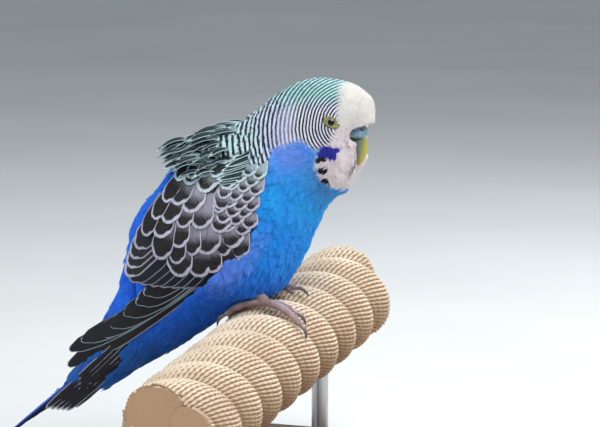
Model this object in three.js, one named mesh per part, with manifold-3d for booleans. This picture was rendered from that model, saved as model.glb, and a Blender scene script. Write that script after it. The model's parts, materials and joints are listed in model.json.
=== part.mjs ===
// A life-size budgerigar, a still museum model, sitting on a short cut length of thick laid rope
// that a plain wooden stand holds up. Millimetres, +Z up, +X the way the bird faces, +Y its left.
// The origin is on the floor, at the middle of the underside of the base.
import * as THREE from 'three';
import { mergeVertices } from 'three/addons/utils/BufferGeometryUtils.js';
import Module from 'manifold-3d';

const wasm = await Module();
wasm.setup();

// Driving dimensions of the stand and the perch
const GAP = 0.3;
const PERCH_HEIGHT = 48;
const BASE_LENGTH = 100;
const BASE_WIDTH = 120;
const BASE_THICKNESS = 10;
const BASE_BEVEL = 1;
const ROD_DIAMETER = 6;
const ROD_SPACING = 90;
const ROPE_DIAMETER = 37;
const ROPE_SLOPE = THREE.MathUtils.degToRad(8.2);
const ROPE_NEAR_END = -90;
const ROPE_FAR_END = 70;
const ROPE_PITCH = 52;
const STRANDS = 3;

// Driving dimensions of the bird. Every height below is above the middle line of the rope.
const BODY_ROUNDNESS = 2.1;
const EYE_RADIUS = 2.9;
const EYE_SINK = 2.1;
const EYE_PLACE = { x: 27.1, z: 83.1 };
const LID_RADIUS = 2.05;
const LID_THICKNESS = 0.9;
const TAIL_TIP = { x: -100, z: -38.5 };
const TAIL_ROOT = { x: -56, z: -1.5 };
const TAIL_FEATHERS_A_SIDE = 6;
const TAIL_STEP = 0.135;
const TAIL_SPREAD = 0.55;
const TAIL_VANE_HALF = 2.1;
const TAIL_TOP = 3.2;
const TAIL_LAYER = 0.5;
const TAIL_ROOF = 0.55;
const TAIL_SHAPE = [
  { at: 0, wide: 0.7, thick: 0.7 },
  { at: 0.45, wide: 1, thick: 0.7 },
  { at: 0.85, wide: 0.8, thick: 0.7 },
  { at: 1, wide: 0.2, thick: 0.5 },
];
const FOOT_SIDE = 9;
const TOE_THICKNESS = 2.5;
const ANKLE_RADIUS = 1.75;
const ANKLE_LIFT = 0.45;
const TOE_TAPER = [1.1, 1, 0.92, 0.72];
const CLAW_THICKNESS = [1.5, 1.35, 0.95, 0.45];
const FOOT_ROOM = 7;
const FOOT_ROOM_FLAT = 0.72;
const CLAW_LIFT = [-0.1, 0.35, -0.1, -0.95];

// Outline of the whole body from forehead to tail: the back and the belly in the middle plane,
// and half of the width between them
const BODY = [
  { back: [37.0, 83.0], belly: [37.0, 82.0], half: 0.5 },
  { back: [35.6, 89.2], belly: [34.6, 77.6], half: 7.0 },
  { back: [31.0, 93.2], belly: [30.6, 71.0], half: 11.4 },
  { back: [24.0, 95.4], belly: [30.2, 63.6], half: 13.8 },
  { back: [14.5, 95.4], belly: [28.4, 58.3], half: 15.3 },
  { back: [4.0, 90.8], belly: [23.6, 54.6], half: 16.6 },
  { back: [-7.0, 82.6], belly: [19.4, 50.2], half: 19.0 },
  { back: [-19.5, 75.6], belly: [16.2, 44.3], half: 21.8 },
  { back: [-33.0, 66.6], belly: [13.0, 37.0], half: 23.8 },
  { back: [-41.6, 54.0], belly: [9.0, 29.4], half: 24.4 },
  { back: [-47.8, 42.0], belly: [4.0, 23.0], half: 24.0 },
  { back: [-53.0, 30.0], belly: [-5.0, 18.6], half: 21.8 },
  { back: [-57.6, 18.0], belly: [-17.0, 12.0], half: 17.6 },
  { back: [-63.0, 9.0], belly: [-31.0, 2.5], half: 12.4 },
  { back: [-69.0, 1.0], belly: [-47.0, -7.5], half: 8.4 },
  { back: [-76.0, -10.0], belly: [-62.0, -16.5], half: 5.6 },
  { back: [-79.6, -18.2], belly: [-79.0, -19.6], half: 1.0 },
];

// Cuts that part the body, each from a point on the back to a point on the belly
const NECK_CUT = { back: [6.0, 92.0], belly: [26.0, 57.0] };
const SHOULDER_CUT = { back: [-9.0, 81.4], belly: [20.5, 51.5] };
const RUMP_CUT = { back: [-61.0, 13.5], belly: [-25.0, 7.0] };

// The folded wing lies on a curved sheet, from the shoulder to the tips of the long feathers.
// Along it p runs to the tips and q from the back to the belly, and h stands off the sheet.
const WING_SHOULDER = new THREE.Vector3(4.8, -21, 59.4);
const WING_TIP = new THREE.Vector3(-75.6, -5, -2.9);
const WING_BULGE = [[-10, -4], [0, -1], [10, 2.2], [20, 5.6], [30, 8.2], [40, 9.8], [50, 10.3],
  [65, 9.4], [80, 6], [95, 2], [110, 0]];
const WING_CURVE = [[-10, 0.0167], [60, 0.0167], [85, 0.012], [110, 0.005]];
const WING_BED = [[-10, -1.45], [18, -1.45], [23, -4.4], [110, -4.4]];
const COVERT_CORE = { top: 0, bottom: -0.9 };
const FLIGHT_CORE = { top: -2.0, bottom: -3.4 };

// Vanes: where each row lies between root and tip, its share of the width, and its thickness
const COVERT_SHAPE = [
  { at: 0.1, wide: 0.55, thick: 0.6 },
  { at: 0.72, wide: 1, thick: 0.6 },
  { at: 1, wide: 0.45, thick: 0.5 },
];
const FLIGHT_SHAPE = [
  { at: 0, wide: 0.45, thick: 0.7 },
  { at: 0.5, wide: 1, thick: 0.7 },
  { at: 0.88, wide: 0.9, thick: 0.7 },
  { at: 1, wide: 0.35, thick: 0.5 },
];
const BLADE_SHAPE = [
  { at: 0, wide: 0.45, thick: 0.7 },
  { at: 0.28, wide: 0.8, thick: 0.7 },
  { at: 0.56, wide: 1, thick: 0.7 },
  { at: 0.82, wide: 1, thick: 0.7 },
  { at: 0.95, wide: 0.75, thick: 0.65 },
  { at: 1, wide: 0.25, thick: 0.5 },
];
const VANE_CAMBER = 0.12;
const COVERT_ROLL = 0.28;
const FLIGHT_ROLL = 0.22;
const COVERT_ROOT = -0.1;
const TIP_ROUND = 0.04;
const VARY = 0.12;

// Small helpers
const point = (x, y, z) => new THREE.Vector3(x, y, z);

function between(table, x) {
  let i = 1;
  while (i < table.length - 1 && table[i][0] < x) i += 1;
  const [x0, y0] = table[i - 1];
  const [x1, y1] = table[i];
  return THREE.MathUtils.lerp(y0, y1, THREE.MathUtils.clamp((x - x0) / (x1 - x0), 0, 1));
}

// Seeded random numbers from 0 to 1
let seed = 7;
function random() {
  seed = (seed * 16807) % 2147483647;
  return seed / 2147483647;
}

function solidOf(positions, triangles) {
  const geometry = new THREE.BufferGeometry();
  geometry.setAttribute('position', new THREE.Float32BufferAttribute(positions, 3));
  geometry.setIndex(triangles);
  return solidFrom(geometry);
}

function solidFrom(geometry) {
  geometry.deleteAttribute('normal');
  geometry.deleteAttribute('uv');
  const merged = mergeVertices(geometry, 1e-4);
  const mesh = new wasm.Mesh({
    numProp: 3,
    vertProperties: new Float32Array(merged.attributes.position.array),
    triVerts: new Uint32Array(merged.index.array),
  });
  const solid = new wasm.Manifold(mesh);
  if (solid.volume() > 0) return solid;
  const turned = new Uint32Array(merged.index.array);
  for (let i = 0; i < turned.length; i += 3) [turned[i], turned[i + 1]] = [turned[i + 1], turned[i]];
  return new wasm.Manifold(new wasm.Mesh({
    numProp: 3,
    vertProperties: new Float32Array(merged.attributes.position.array),
    triVerts: turned,
  }));
}

// A closed skin over rings of points with the same count, with a fan at each end
function loft(rings, slanted = false) {
  const positions = [];
  const triangles = [];
  const count = rings[0].length;
  for (const ring of rings) for (const v of ring) positions.push(v.x, v.y, v.z);
  for (let r = 0; r < rings.length - 1; r += 1) {
    for (let i = 0; i < count; i += 1) {
      const j = (i + 1) % count;
      const a = r * count + i;
      const b = r * count + j;
      if (slanted) triangles.push(a, b, a + count, b, b + count, a + count);
      else triangles.push(a, b, b + count, a, b + count, a + count);
    }
  }
  for (const [r, turn] of [[0, false], [rings.length - 1, true]]) {
    const middle = new THREE.Vector3();
    for (const v of rings[r]) middle.addScaledVector(v, 1 / count);
    const centre = positions.length / 3;
    positions.push(middle.x, middle.y, middle.z);
    for (let i = 0; i < count; i += 1) {
      const a = r * count + i;
      const b = r * count + ((i + 1) % count);
      if (turn) triangles.push(centre, a, b);
      else triangles.push(centre, b, a);
    }
  }
  return solidOf(positions, triangles);
}

// A thin closed plate between two grids of points, split alike on both faces
function plate(top, bottom) {
  const positions = [];
  const triangles = [];
  const rows = top.length;
  const columns = top[0].length;
  const size = rows * columns;
  for (const row of [...top, ...bottom]) for (const v of row) positions.push(v.x, v.y, v.z);
  const at = (r, c) => r * columns + c;
  for (let r = 0; r < rows - 1; r += 1) {
    for (let c = 0; c < columns - 1; c += 1) {
      const left = c < (columns - 1) / 2;
      const [a, b, d, e] = [at(r, c), at(r, c + 1), at(r + 1, c + 1), at(r + 1, c)];
      const halves = left ? [[a, b, d], [a, d, e]] : [[a, b, e], [b, d, e]];
      for (const [i, j, k] of halves) triangles.push(i, j, k, i + size, k + size, j + size);
    }
  }
  const rim = [];
  for (let c = 0; c < columns - 1; c += 1) rim.push(at(0, c));
  for (let r = 0; r < rows - 1; r += 1) rim.push(at(r, columns - 1));
  for (let c = columns - 1; c > 0; c -= 1) rim.push(at(rows - 1, c));
  for (let r = rows - 1; r > 0; r -= 1) rim.push(at(r, 0));
  for (let i = 0; i < rim.length; i += 1) {
    const a = rim[i];
    const b = rim[(i + 1) % rim.length];
    triangles.push(a, a + size, b, b, a + size, b + size);
  }
  return solidOf(positions, triangles);
}

function join(solids) {
  return wasm.Manifold.union(solids);
}

// Only the largest closed surface is kept, which fills sealed hollows and drops loose scraps
function largest(solid) {
  const pieces = solid.decompose();
  let best = pieces[0];
  for (const piece of pieces) if (piece.volume() > best.volume()) best = piece;
  return best;
}

function keepSide(solid, cut, side) {
  const back = new THREE.Vector2(...cut.back);
  const belly = new THREE.Vector2(...cut.belly);
  const along = back.clone().sub(belly).normalize();
  const normal = [-along.y * side, 0, along.x * side];
  return solid.trimByPlane(normal, normal[0] * back.x + normal[2] * back.y + GAP / 2);
}

// The body: sections between back and belly, rounder or squarer with BODY_ROUNDNESS
const backLine = new THREE.CatmullRomCurve3(BODY.map((s) => point(s.back[0], 0, s.back[1])));
const bellyLine = new THREE.CatmullRomCurve3(BODY.map((s) => point(s.belly[0], 0, s.belly[1])));
const halfLine = new THREE.CatmullRomCurve3(BODY.map((s, i) => point(i, 0, s.half)));

function bodySection(t, sides, grow = 0) {
  const back = backLine.getPoint(t);
  const belly = bellyLine.getPoint(t);
  const middle = back.clone().add(belly).multiplyScalar(0.5);
  const up = back.clone().sub(belly);
  const height = up.length() / 2 + grow;
  up.normalize();
  const half = halfLine.getPoint(t).z + grow;
  const ring = [];
  for (let i = 0; i < sides; i += 1) {
    const angle = (2 * Math.PI * (i + 0.5)) / sides;
    const c = Math.sign(Math.cos(angle)) * Math.abs(Math.cos(angle)) ** (2 / BODY_ROUNDNESS);
    const s = Math.sign(Math.sin(angle)) * Math.abs(Math.sin(angle)) ** (2 / BODY_ROUNDNESS);
    const v = middle.clone().addScaledVector(up, height * c);
    v.y += half * s;
    ring.push(v);
  }
  return ring;
}

function bodyPart(from, to, steps, sides) {
  const rings = [];
  for (let i = 0; i <= steps; i += 1) rings.push(bodySection(from + ((to - from) * i) / steps, sides));
  return loft(rings);
}

// Half of the body's width at a place in the middle plane
function bodyHalfAt(x, z) {
  let low = 0;
  let high = 1;
  const off = (t) => {
    const back = backLine.getPoint(t);
    const belly = bellyLine.getPoint(t);
    return (back.x - belly.x) * (z - belly.z) - (back.z - belly.z) * (x - belly.x);
  };
  for (let i = 0; i < 40; i += 1) {
    const t = (low + high) / 2;
    if (off(t) > 0) low = t;
    else high = t;
  }
  const back = backLine.getPoint(low);
  const belly = bellyLine.getPoint(low);
  const height = back.distanceTo(belly) / 2;
  const middle = back.clone().add(belly).multiplyScalar(0.5);
  const c = Math.min(1, Math.hypot(x - middle.x, z - middle.z) / height);
  return halfLine.getPoint(low).z * (1 - c ** BODY_ROUNDNESS) ** (1 / BODY_ROUNDNESS);
}

// The rope: laid strands seen as rounded lobes that turn along its length
const ROPE_RADIUS = ROPE_DIAMETER / 2;
const STRAND_RADIUS = ROPE_RADIUS * 0.464;
const STRAND_OFFSET = ROPE_RADIUS - STRAND_RADIUS;
const GROOVE_RADIUS = ROPE_RADIUS * 0.74;

function ropeRadius(angle) {
  const step = (2 * Math.PI) / STRANDS;
  const near = angle - step * Math.round(angle / step);
  const across = STRAND_OFFSET * Math.sin(near);
  const inside = Math.max(0, STRAND_RADIUS ** 2 - across ** 2);
  return Math.max(GROOVE_RADIUS, STRAND_OFFSET * Math.cos(near) + Math.sqrt(inside));
}

function ropeAxis(y) {
  return point(0, y, y * Math.tan(ROPE_SLOPE));
}

function ropeSolid(steps, sides, grow = 0) {
  const rings = [];
  const slant = point(0, Math.cos(ROPE_SLOPE), Math.sin(ROPE_SLOPE));
  const up = point(0, -Math.sin(ROPE_SLOPE), Math.cos(ROPE_SLOPE));
  const from = ROPE_NEAR_END / slant.y - grow;
  const to = ROPE_FAR_END / slant.y + grow;
  for (let i = 0; i <= steps; i += 1) {
    const along = from + ((to - from) * i) / steps;
    const turn = (2 * Math.PI * along) / ROPE_PITCH;
    const ring = [];
    for (let j = 0; j < sides; j += 1) {
      const angle = (2 * Math.PI * j) / sides;
      const radius = ropeRadius(angle) + grow;
      const v = slant.clone().multiplyScalar(along);
      v.x += radius * Math.sin(angle + turn);
      v.addScaledVector(up, radius * Math.cos(angle + turn));
      ring.push(v);
    }
    rings.push(ring);
  }
  return loft(rings, true);
}

// A plain round bar as wide as the rope's lobes reach, grown by a gap
function ropeReach(grow, sides) {
  const rings = [];
  for (const y of [ROPE_NEAR_END - 5, ROPE_FAR_END + 5]) {
    const ring = [];
    for (let j = 0; j < sides; j += 1) {
      const angle = (2 * Math.PI * j) / sides;
      const v = ropeAxis(y);
      v.x += (ROPE_RADIUS + grow) * Math.sin(angle);
      v.z += ((ROPE_RADIUS + grow) * Math.cos(angle)) / Math.cos(ROPE_SLOPE);
      ring.push(v);
    }
    rings.push(ring);
  }
  return loft(rings);
}

// The wing's sheet
const wingAlong = WING_TIP.clone().sub(WING_SHOULDER).normalize();
const wingOut = point(0, -1, 0).addScaledVector(wingAlong, wingAlong.y).normalize();
const wingAcross = new THREE.Vector3().crossVectors(wingOut, wingAlong);

function wingPoint(p, q, h) {
  const out = between(WING_BULGE, p) - between(WING_CURVE, p) * q * q + h;
  return WING_SHOULDER.clone()
    .addScaledVector(wingAlong, p)
    .addScaledVector(wingAcross, q)
    .addScaledVector(wingOut, out);
}

// Outline of the wing: how far it reaches towards the back and the belly at each p
const COVERT_FRONT = [[15, -24.5], [5, -18.5], [-2, -12], [-3, -6], [2, 2], [9, 8.5], [17, 11.5]];
const COVERT_REAR = [[35, -21], [41, -16], [43, -9], [40.5, -3], [36, 3.5], [30, 8], [25, 11.5]];
const FLIGHT_FRONT = [[27, -17], [26, -8], [26, 2], [27, 10]];
const FLIGHT_REAR = [[43, -10.5], [47, -4], [46, 3], [42, 9.5]];
const WING_BACK_EDGE = [[-8, -14], [2, -21], [12, -26], [20, -28.5], [29, -28], [41, -22], [52, -16],
  [60, -11], [74, -6.5], [96, -5], [108, -3]];
const WING_BELLY_EDGE = [[-8, -1], [1, 7.5], [10, 14.5], [20, 18], [44, 17], [63, 16.5], [76, 14], [87, 12],
  [100, 10.5], [108, 9]];

// Tiers of small feathers over the wing, first the one along its lower edge, then from the long
// feathers to the shoulder. Each has a line of tips from the back to the belly, and the lean of
// its first and last feather in degrees.
const COVERT_TIERS = [
  { tips: [[8, 7], [16, 12], [26, 13.8]], count: 3, long: 9, half: 3.2, lean: [38, 18], rise: 0.2 },
  {
    tips: [[48, -8], [44, 1.5], [37.5, 9], [30, 11.8], [23, 12.8]],
    count: 5,
    long: 14.5,
    half: 6.2,
    lean: [22, 42],
    rise: 0.15,
  },
  {
    tips: [[40, -14.5], [34, -4], [27, 3.5], [20.5, 7.4], [14.5, 8.6]],
    count: 5,
    long: 12.5,
    half: 5.6,
    lean: [24, 45],
    rise: 0.4,
  },
  {
    tips: [[33, -18.5], [26, -9.5], [19.5, -2.5], [13, 2.6], [8, 4.4]],
    count: 5,
    long: 10.5,
    half: 5.1,
    lean: [26, 48],
    rise: 0.55,
  },
  {
    tips: [[27, -22], [19, -12.5], [12.5, -5.5], [7, -0.8], [3.4, 0.8]],
    count: 4,
    long: 9.5,
    half: 4.9,
    lean: [28, 50],
    rise: 0.65,
  },
  {
    tips: [[20, -23.5], [11, -14.5], [5.8, -8.5], [1.8, -4.2]],
    count: 3,
    long: 8,
    half: 4.8,
    lean: [30, 50],
    rise: 0.7,
  },
];

// Long feathers of the folded wing, in the order in which they lie over each other
const TERTIALS = {
  tips: [[50.7, -11.5], [55.9, -9], [60, -6]],
  roots: [[29, -15], [29, -12], [29, -9]],
  half: [4.8, 4.3],
  top: [-1.4, -1.6],
};
const SECONDARIES = {
  tips: [[59.6, -3.6], [55.4, 0.6], [50.8, 4.6], [46.6, 8.2], [42, 12]],
  roots: [[31, -5], [29, -2], [28, 1.5], [27.5, 4.5], [27, 7]],
  half: [4.5, 4],
  top: [-1.55, -1.85],
};
const PRIMARIES = {
  tips: [[58.2, 2.6], [72, 2.8], [85, 2], [99, -0.4], [108, 0.2], [111.5, 4.8]],
  roots: [[31, 6], [32, 8], [33, 9.5], [34, 10.5], [35, 11.5], [36, 12.5]],
  half: [4.9, 3.4],
  top: [-1.9, -2.5],
};

// The bed that the body leaves free for the folded wing
function wingBed() {
  const top = [];
  const bottom = [];
  for (let p = -7; p <= 113; p += 10) {
    const edges = [between(WING_BACK_EDGE, p), between(WING_BELLY_EDGE, p)];
    const across = [];
    for (let c = 0; c <= 5; c += 1) across.push(THREE.MathUtils.lerp(edges[0], edges[1], c / 5));
    top.push(across.map((q) => wingPoint(p, q, 20)));
    bottom.push(across.map((q) => wingPoint(p, q, between(WING_BED, p))));
  }
  return plate(top, bottom);
}

// A place on a line through flat places, at equal shares of its list
function alongLine(line, v) {
  const curve = new THREE.SplineCurve(line.map(([p, q]) => new THREE.Vector2(p, q)));
  return curve.getPoint(v);
}

function sheetBetween(front, rear, rows, columns, top, bottom) {
  const grids = [top, bottom].map((h) => {
    const grid = [];
    for (let r = 0; r <= rows; r += 1) {
      const row = [];
      for (let c = 0; c <= columns; c += 1) {
        const at = alongLine(front, c / columns).lerp(alongLine(rear, c / columns), r / rows);
        row.push(wingPoint(at.x, at.y, h));
      }
      grid.push(row);
    }
    return grid;
  });
  return plate(grids[0], grids[1]);
}

// One feather, a thin vane that follows the sheet from its root to its rounded tip. It is rolled so
// that its edge towards the belly lies over the next feather.
function wingVane({ root, tip, half, low, high, shape, roll, ribs = [-1, 0, 1] }) {
  const from = new THREE.Vector2(...root);
  const along = new THREE.Vector2(...tip).sub(from);
  const side = new THREE.Vector2(-along.y, along.x).normalize();
  const faces = [0, 1].map((under) => shape.map(({ at, wide, thick }) => ribs.map((v) => {
    const reach = at - TIP_ROUND * Math.abs(v) * at ** 6;
    const place = from.clone().addScaledVector(along, reach).addScaledVector(side, v * half * wide);
    const height = THREE.MathUtils.lerp(low, high, at) + roll * v * at - VANE_CAMBER * Math.abs(v);
    return wingPoint(place.x, place.y, height - under * thick);
  })));
  return plate(faces[0], faces[1]);
}

function coverts() {
  const pieces = [sheetBetween(COVERT_FRONT, COVERT_REAR, 3, 5, COVERT_CORE.top, COVERT_CORE.bottom)];
  for (const tier of COVERT_TIERS) {
    for (let i = 0; i < tier.count; i += 1) {
      const v = i / (tier.count - 1);
      const tip = alongLine(tier.tips, v);
      const lean = THREE.MathUtils.degToRad(THREE.MathUtils.lerp(tier.lean[0], tier.lean[1], v));
      const long = tier.long * (1 + VARY * (random() - 0.5));
      const root = [tip.x - long * Math.cos(lean), tip.y - long * Math.sin(lean)];
      pieces.push(wingVane({
        root,
        tip: [tip.x, tip.y],
        half: tier.half,
        low: COVERT_ROOT,
        high: tier.rise,
        shape: COVERT_SHAPE,
        roll: COVERT_ROLL,
      }));
    }
  }
  return join(pieces);
}

function flight() {
  const pieces = [sheetBetween(FLIGHT_FRONT, FLIGHT_REAR, 3, 4, FLIGHT_CORE.top, FLIGHT_CORE.bottom)];
  for (const tier of [TERTIALS, SECONDARIES, PRIMARIES]) {
    const last = tier.tips.length - 1;
    tier.tips.forEach((tip, i) => {
      const top = THREE.MathUtils.lerp(tier.top[0], tier.top[1], i / last);
      pieces.push(wingVane({
        root: tier.roots[i],
        tip,
        half: THREE.MathUtils.lerp(tier.half[0], tier.half[1], i / last),
        low: top - 0.2,
        high: top,
        shape: tier === PRIMARIES ? BLADE_SHAPE : FLIGHT_SHAPE,
        roll: FLIGHT_ROLL,
        ribs: tier === TERTIALS ? [-1, 0, 1] : [-1, 1],
      }));
    });
  }
  return join(pieces);
}

// The tail's own frame: s runs from its root to its tip, h stands off it upwards
const tailAlong = point(TAIL_TIP.x - TAIL_ROOT.x, 0, TAIL_TIP.z - TAIL_ROOT.z);
const tailLength = tailAlong.length();
tailAlong.normalize();
const tailUp = point(tailAlong.z, 0, -tailAlong.x);

function tailPoint(s, y, h) {
  return point(TAIL_ROOT.x, y, TAIL_ROOT.z).addScaledVector(tailAlong, s).addScaledVector(tailUp, h);
}

// The room that the small feathers leave for the root of the tail
function tailRoom() {
  const stations = [[-GAP - 0.6, 7.6, 4.9], [14, 7, 4.5], [26, 6, 4.1], [44, 5, 3.6]];
  return loft(stations.map(([s, half, thick]) => {
    const ring = [];
    for (let i = 0; i < 10; i += 1) {
      const angle = (2 * Math.PI * (i + 0.5)) / 10;
      ring.push(tailPoint(s, half * Math.sin(angle), thick * Math.cos(angle)));
    }
    return ring;
  }));
}

// Long feathers in steps, the middle pair on top and longest, each pair lower, shorter and wider set
function tailFeathers() {
  const pieces = [];
  for (let i = 0; i < TAIL_FEATHERS_A_SIDE; i += 1) {
    const long = tailLength * (1 - TAIL_STEP * i ** 0.85);
    for (const side of [-1, 1]) {
      const faces = [0, 1].map((under) => TAIL_SHAPE.map(({ at, wide, thick }) => [-1, 1].map((v) => {
        const spread = TAIL_SPREAD * (i + 0.5) * (1 - 0.45 * at);
        const y = side * (spread + v * TAIL_VANE_HALF * wide);
        const height = TAIL_TOP - TAIL_LAYER * i - TAIL_ROOF * (Math.abs(y) + (v * side > 0 ? 0 : 0.1));
        return tailPoint(at * long, y, height - under * thick);
      })));
      pieces.push(plate(faces[0], faces[1]));
    }
  }
  const root = [0, 1].map((under) => [0, 9, 18].map((s) => [-1, 0, 1].map((v) => {
    const height = under ? -TAIL_TOP : TAIL_TOP - 0.3;
    const half = 4.2 - s * 0.06;
    return tailPoint(s, v * half, height - (under ? 0 : TAIL_ROOF * half) * Math.abs(v));
  })));
  pieces.push(plate(root[0], root[1]));
  return join(pieces);
}

// A rounded bar through a list of places, each with its thickness
function limb(places, sides, grow = 0, fine = 2, flat = 1) {
  const curve = new THREE.CatmullRomCurve3(places.map((s) => point(...s.at)));
  const thick = new THREE.CatmullRomCurve3(places.map((s, i) => point(i, 0, s.thick / 2)));
  const steps = (places.length - 1) * fine;
  const rings = [];
  const start = curve.getTangent(0);
  const side = Math.abs(start.y) < 0.8 ? point(0, 1, 0) : point(1, 0, 0);
  for (let i = 0; i <= steps; i += 1) {
    const t = i / steps;
    const middle = curve.getPoint(t);
    const along = curve.getTangent(t);
    const across = new THREE.Vector3().crossVectors(along, side).normalize();
    const over = new THREE.Vector3().crossVectors(across, along).normalize();
    const radius = thick.getPoint(t).z + grow;
    if (i === 0) middle.addScaledVector(along, -grow);
    if (i === steps) middle.addScaledVector(along, grow);
    const ring = [];
    for (let j = 0; j < sides; j += 1) {
      const angle = (2 * Math.PI * j) / sides;
      ring.push(middle.clone()
        .addScaledVector(across, radius * Math.cos(angle) * flat)
        .addScaledVector(over, (radius * Math.sin(angle)) / flat));
    }
    rings.push(ring);
  }
  return loft(rings);
}

// Place on the rope's upper side: angle from the top towards the front, and how far off its surface
function onRope(y, degrees, off) {
  const angle = THREE.MathUtils.degToRad(degrees);
  const v = ropeAxis(y);
  v.x += (ROPE_RADIUS + off) * Math.sin(angle);
  v.z += (ROPE_RADIUS + off) * Math.cos(angle);
  return [v.x, v.y, v.z];
}

// Four toes, two forward and two back: angles round the rope, sideways spread and claw
const TOES = [
  { name: 'outer_front', to: 47, spread: -1.6, thick: 1.0, claw: 15 },
  { name: 'inner_front', to: 36, spread: 2.6, thick: 0.9, claw: 14 },
  { name: 'outer_back', to: -40, spread: -2.4, thick: 1.0, claw: -14 },
  { name: 'inner_back', to: -27, spread: 2.0, thick: 0.85, claw: -13 },
];

const TOE_LIFT = TOE_THICKNESS * 0.55 + GAP;

function toeSolid(side, turn, toe) {
  const y0 = side * FOOT_SIDE;
  return limb([0, 0.35, 0.7, 1].map((t, i) => ({
    at: onRope(y0 - side * toe.spread * t, turn + toe.to * t, TOE_LIFT - (t === 1 ? 0.25 : 0)),
    thick: TOE_THICKNESS * toe.thick * TOE_TAPER[i],
  })), 6, 0, 1);
}

function clawSolid(side, turn, toe, grow = 0) {
  const y0 = side * FOOT_SIDE;
  return limb([0, 0.35, 0.7, 1].map((t, i) => ({
    at: onRope(y0 - side * toe.spread * (1 + 0.2 * t), turn + toe.to + toe.claw * t, TOE_LIFT + CLAW_LIFT[i]),
    thick: CLAW_THICKNESS[i],
  })), 6, grow, 1);
}

// The room that the feathers of the belly leave for a foot
function footRoom(side, turn) {
  const reach = [-62, -30, 0, 35, 68];
  return limb(reach.map((degrees) => ({
    at: onRope(side * FOOT_SIDE, turn + degrees, TOE_LIFT),
    thick: FOOT_ROOM,
  })), 8, 0, 1, FOOT_ROOM_FLAT);
}

function shank(side, turn, grow = 0) {
  const y0 = side * FOOT_SIDE;
  const low = onRope(y0, turn, TOE_LIFT + ANKLE_LIFT + 0.6);
  return limb([
    { at: low, thick: 3.0 },
    { at: [low[0] - 3.2, low[1] + side * 0.2, low[2] + 2.6], thick: 2.5 },
    { at: [low[0] - 6.4, low[1] + side * 0.4, low[2] + 5.4], thick: 2.7 },
  ], 8, grow);
}

function thigh(side, turn, grow = 0) {
  const y0 = side * FOOT_SIDE;
  const low = onRope(y0, turn, 0);
  return limb([
    { at: [low[0] - 5.0, low[1] + side * 0.6, low[2] + 5.2], thick: 6 },
    { at: [low[0] - 3.6, low[1] + side * 1.2, low[2] + 9.2], thick: 12.5 },
    { at: [low[0] - 1.6, low[1] + side * 1.6, low[2] + 14.0], thick: 14.5 },
    { at: [low[0] + 0.2, low[1] + side * 1.6, low[2] + 18.5], thick: 9 },
  ], 12, grow);
}

// The head's own pieces
function eyeCentre(side) {
  const y = bodyHalfAt(EYE_PLACE.x, EYE_PLACE.z);
  const out = point(0.383, side * 0.902, 0.203).normalize();
  return { out, at: point(EYE_PLACE.x, side * y, EYE_PLACE.z).addScaledVector(out, -EYE_SINK) };
}

function ball(at, radius, wide, high) {
  const geometry = new THREE.SphereGeometry(radius, wide, high);
  geometry.translate(at.x, at.y, at.z);
  return solidFrom(geometry);
}

function lid(side) {
  const eye = eyeCentre(side);
  const ring = new THREE.TorusGeometry(LID_RADIUS, LID_THICKNESS / 2, 5, 14);
  ring.scale(1.14, 0.94, 1);
  ring.rotateZ(-side * THREE.MathUtils.degToRad(-32));
  const face = new THREE.Matrix4().lookAt(eye.out, point(0, 0, 0), point(0, 0, 1));
  ring.applyMatrix4(face);
  const at = eye.at.clone().addScaledVector(eye.out, EYE_SINK + 0.12);
  ring.translate(at.x, at.y, at.z);
  return solidFrom(ring);
}

// A bill half from sections between its ridge and its cutting edge
function billPart(sections, sides, grow = 0, fine = 2) {
  const ridge = new THREE.CatmullRomCurve3(sections.map((s) => point(s.ridge[0], 0, s.ridge[1])));
  const edge = new THREE.CatmullRomCurve3(sections.map((s) => point(s.edge[0], 0, s.edge[1])));
  const halves = new THREE.CatmullRomCurve3(sections.map((s, i) => point(i, 0, s.half)));
  const steps = (sections.length - 1) * fine;
  const rings = [];
  for (let i = 0; i <= steps; i += 1) {
    const top = ridge.getPoint(i / steps);
    const low = edge.getPoint(i / steps);
    const middle = top.clone().add(low).multiplyScalar(0.5);
    const up = top.clone().sub(low);
    const height = up.length() / 2 + grow;
    const half = halves.getPoint(i / steps).z + grow;
    up.normalize();
    const ring = [];
    for (let j = 0; j < sides; j += 1) {
      const angle = (2 * Math.PI * (j + 0.5)) / sides;
      const v = middle.clone().addScaledVector(up, height * Math.cos(angle));
      v.y += half * Math.sin(angle);
      ring.push(v);
    }
    rings.push(ring);
  }
  return loft(rings);
}

const UPPER_BILL = [
  { ridge: [32.2, 77.0], edge: [28.6, 72.4], half: 3.3 },
  { ridge: [34.8, 76.2], edge: [29.4, 71.4], half: 3.15 },
  { ridge: [36.0, 74.0], edge: [30.4, 70.5], half: 2.75 },
  { ridge: [35.8, 71.4], edge: [31.0, 69.5], half: 2.15 },
  { ridge: [34.5, 69.0], edge: [31.4, 68.3], half: 1.4 },
  { ridge: [33.0, 67.3], edge: [31.9, 67.1], half: 0.5 },
];
const LOWER_BILL = [
  { ridge: [28.2, 70.9], edge: [26.4, 67.6], half: 2.7 },
  { ridge: [29.8, 69.6], edge: [28.9, 66.5], half: 2.3 },
  { ridge: [31.0, 68.2], edge: [30.8, 66.3], half: 1.6 },
  { ridge: [31.6, 67.4], edge: [31.6, 66.8], half: 0.6 },
];
const CERE = [
  { ridge: [29.6, 80.0], edge: [29.0, 76.4], half: 3.4 },
  { ridge: [31.6, 80.4], edge: [31.4, 76.9], half: 4.0 },
  { ridge: [33.6, 79.9], edge: [33.9, 76.8], half: 3.9 },
  { ridge: [35.0, 78.8], edge: [35.2, 76.8], half: 2.6 },
];

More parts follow.
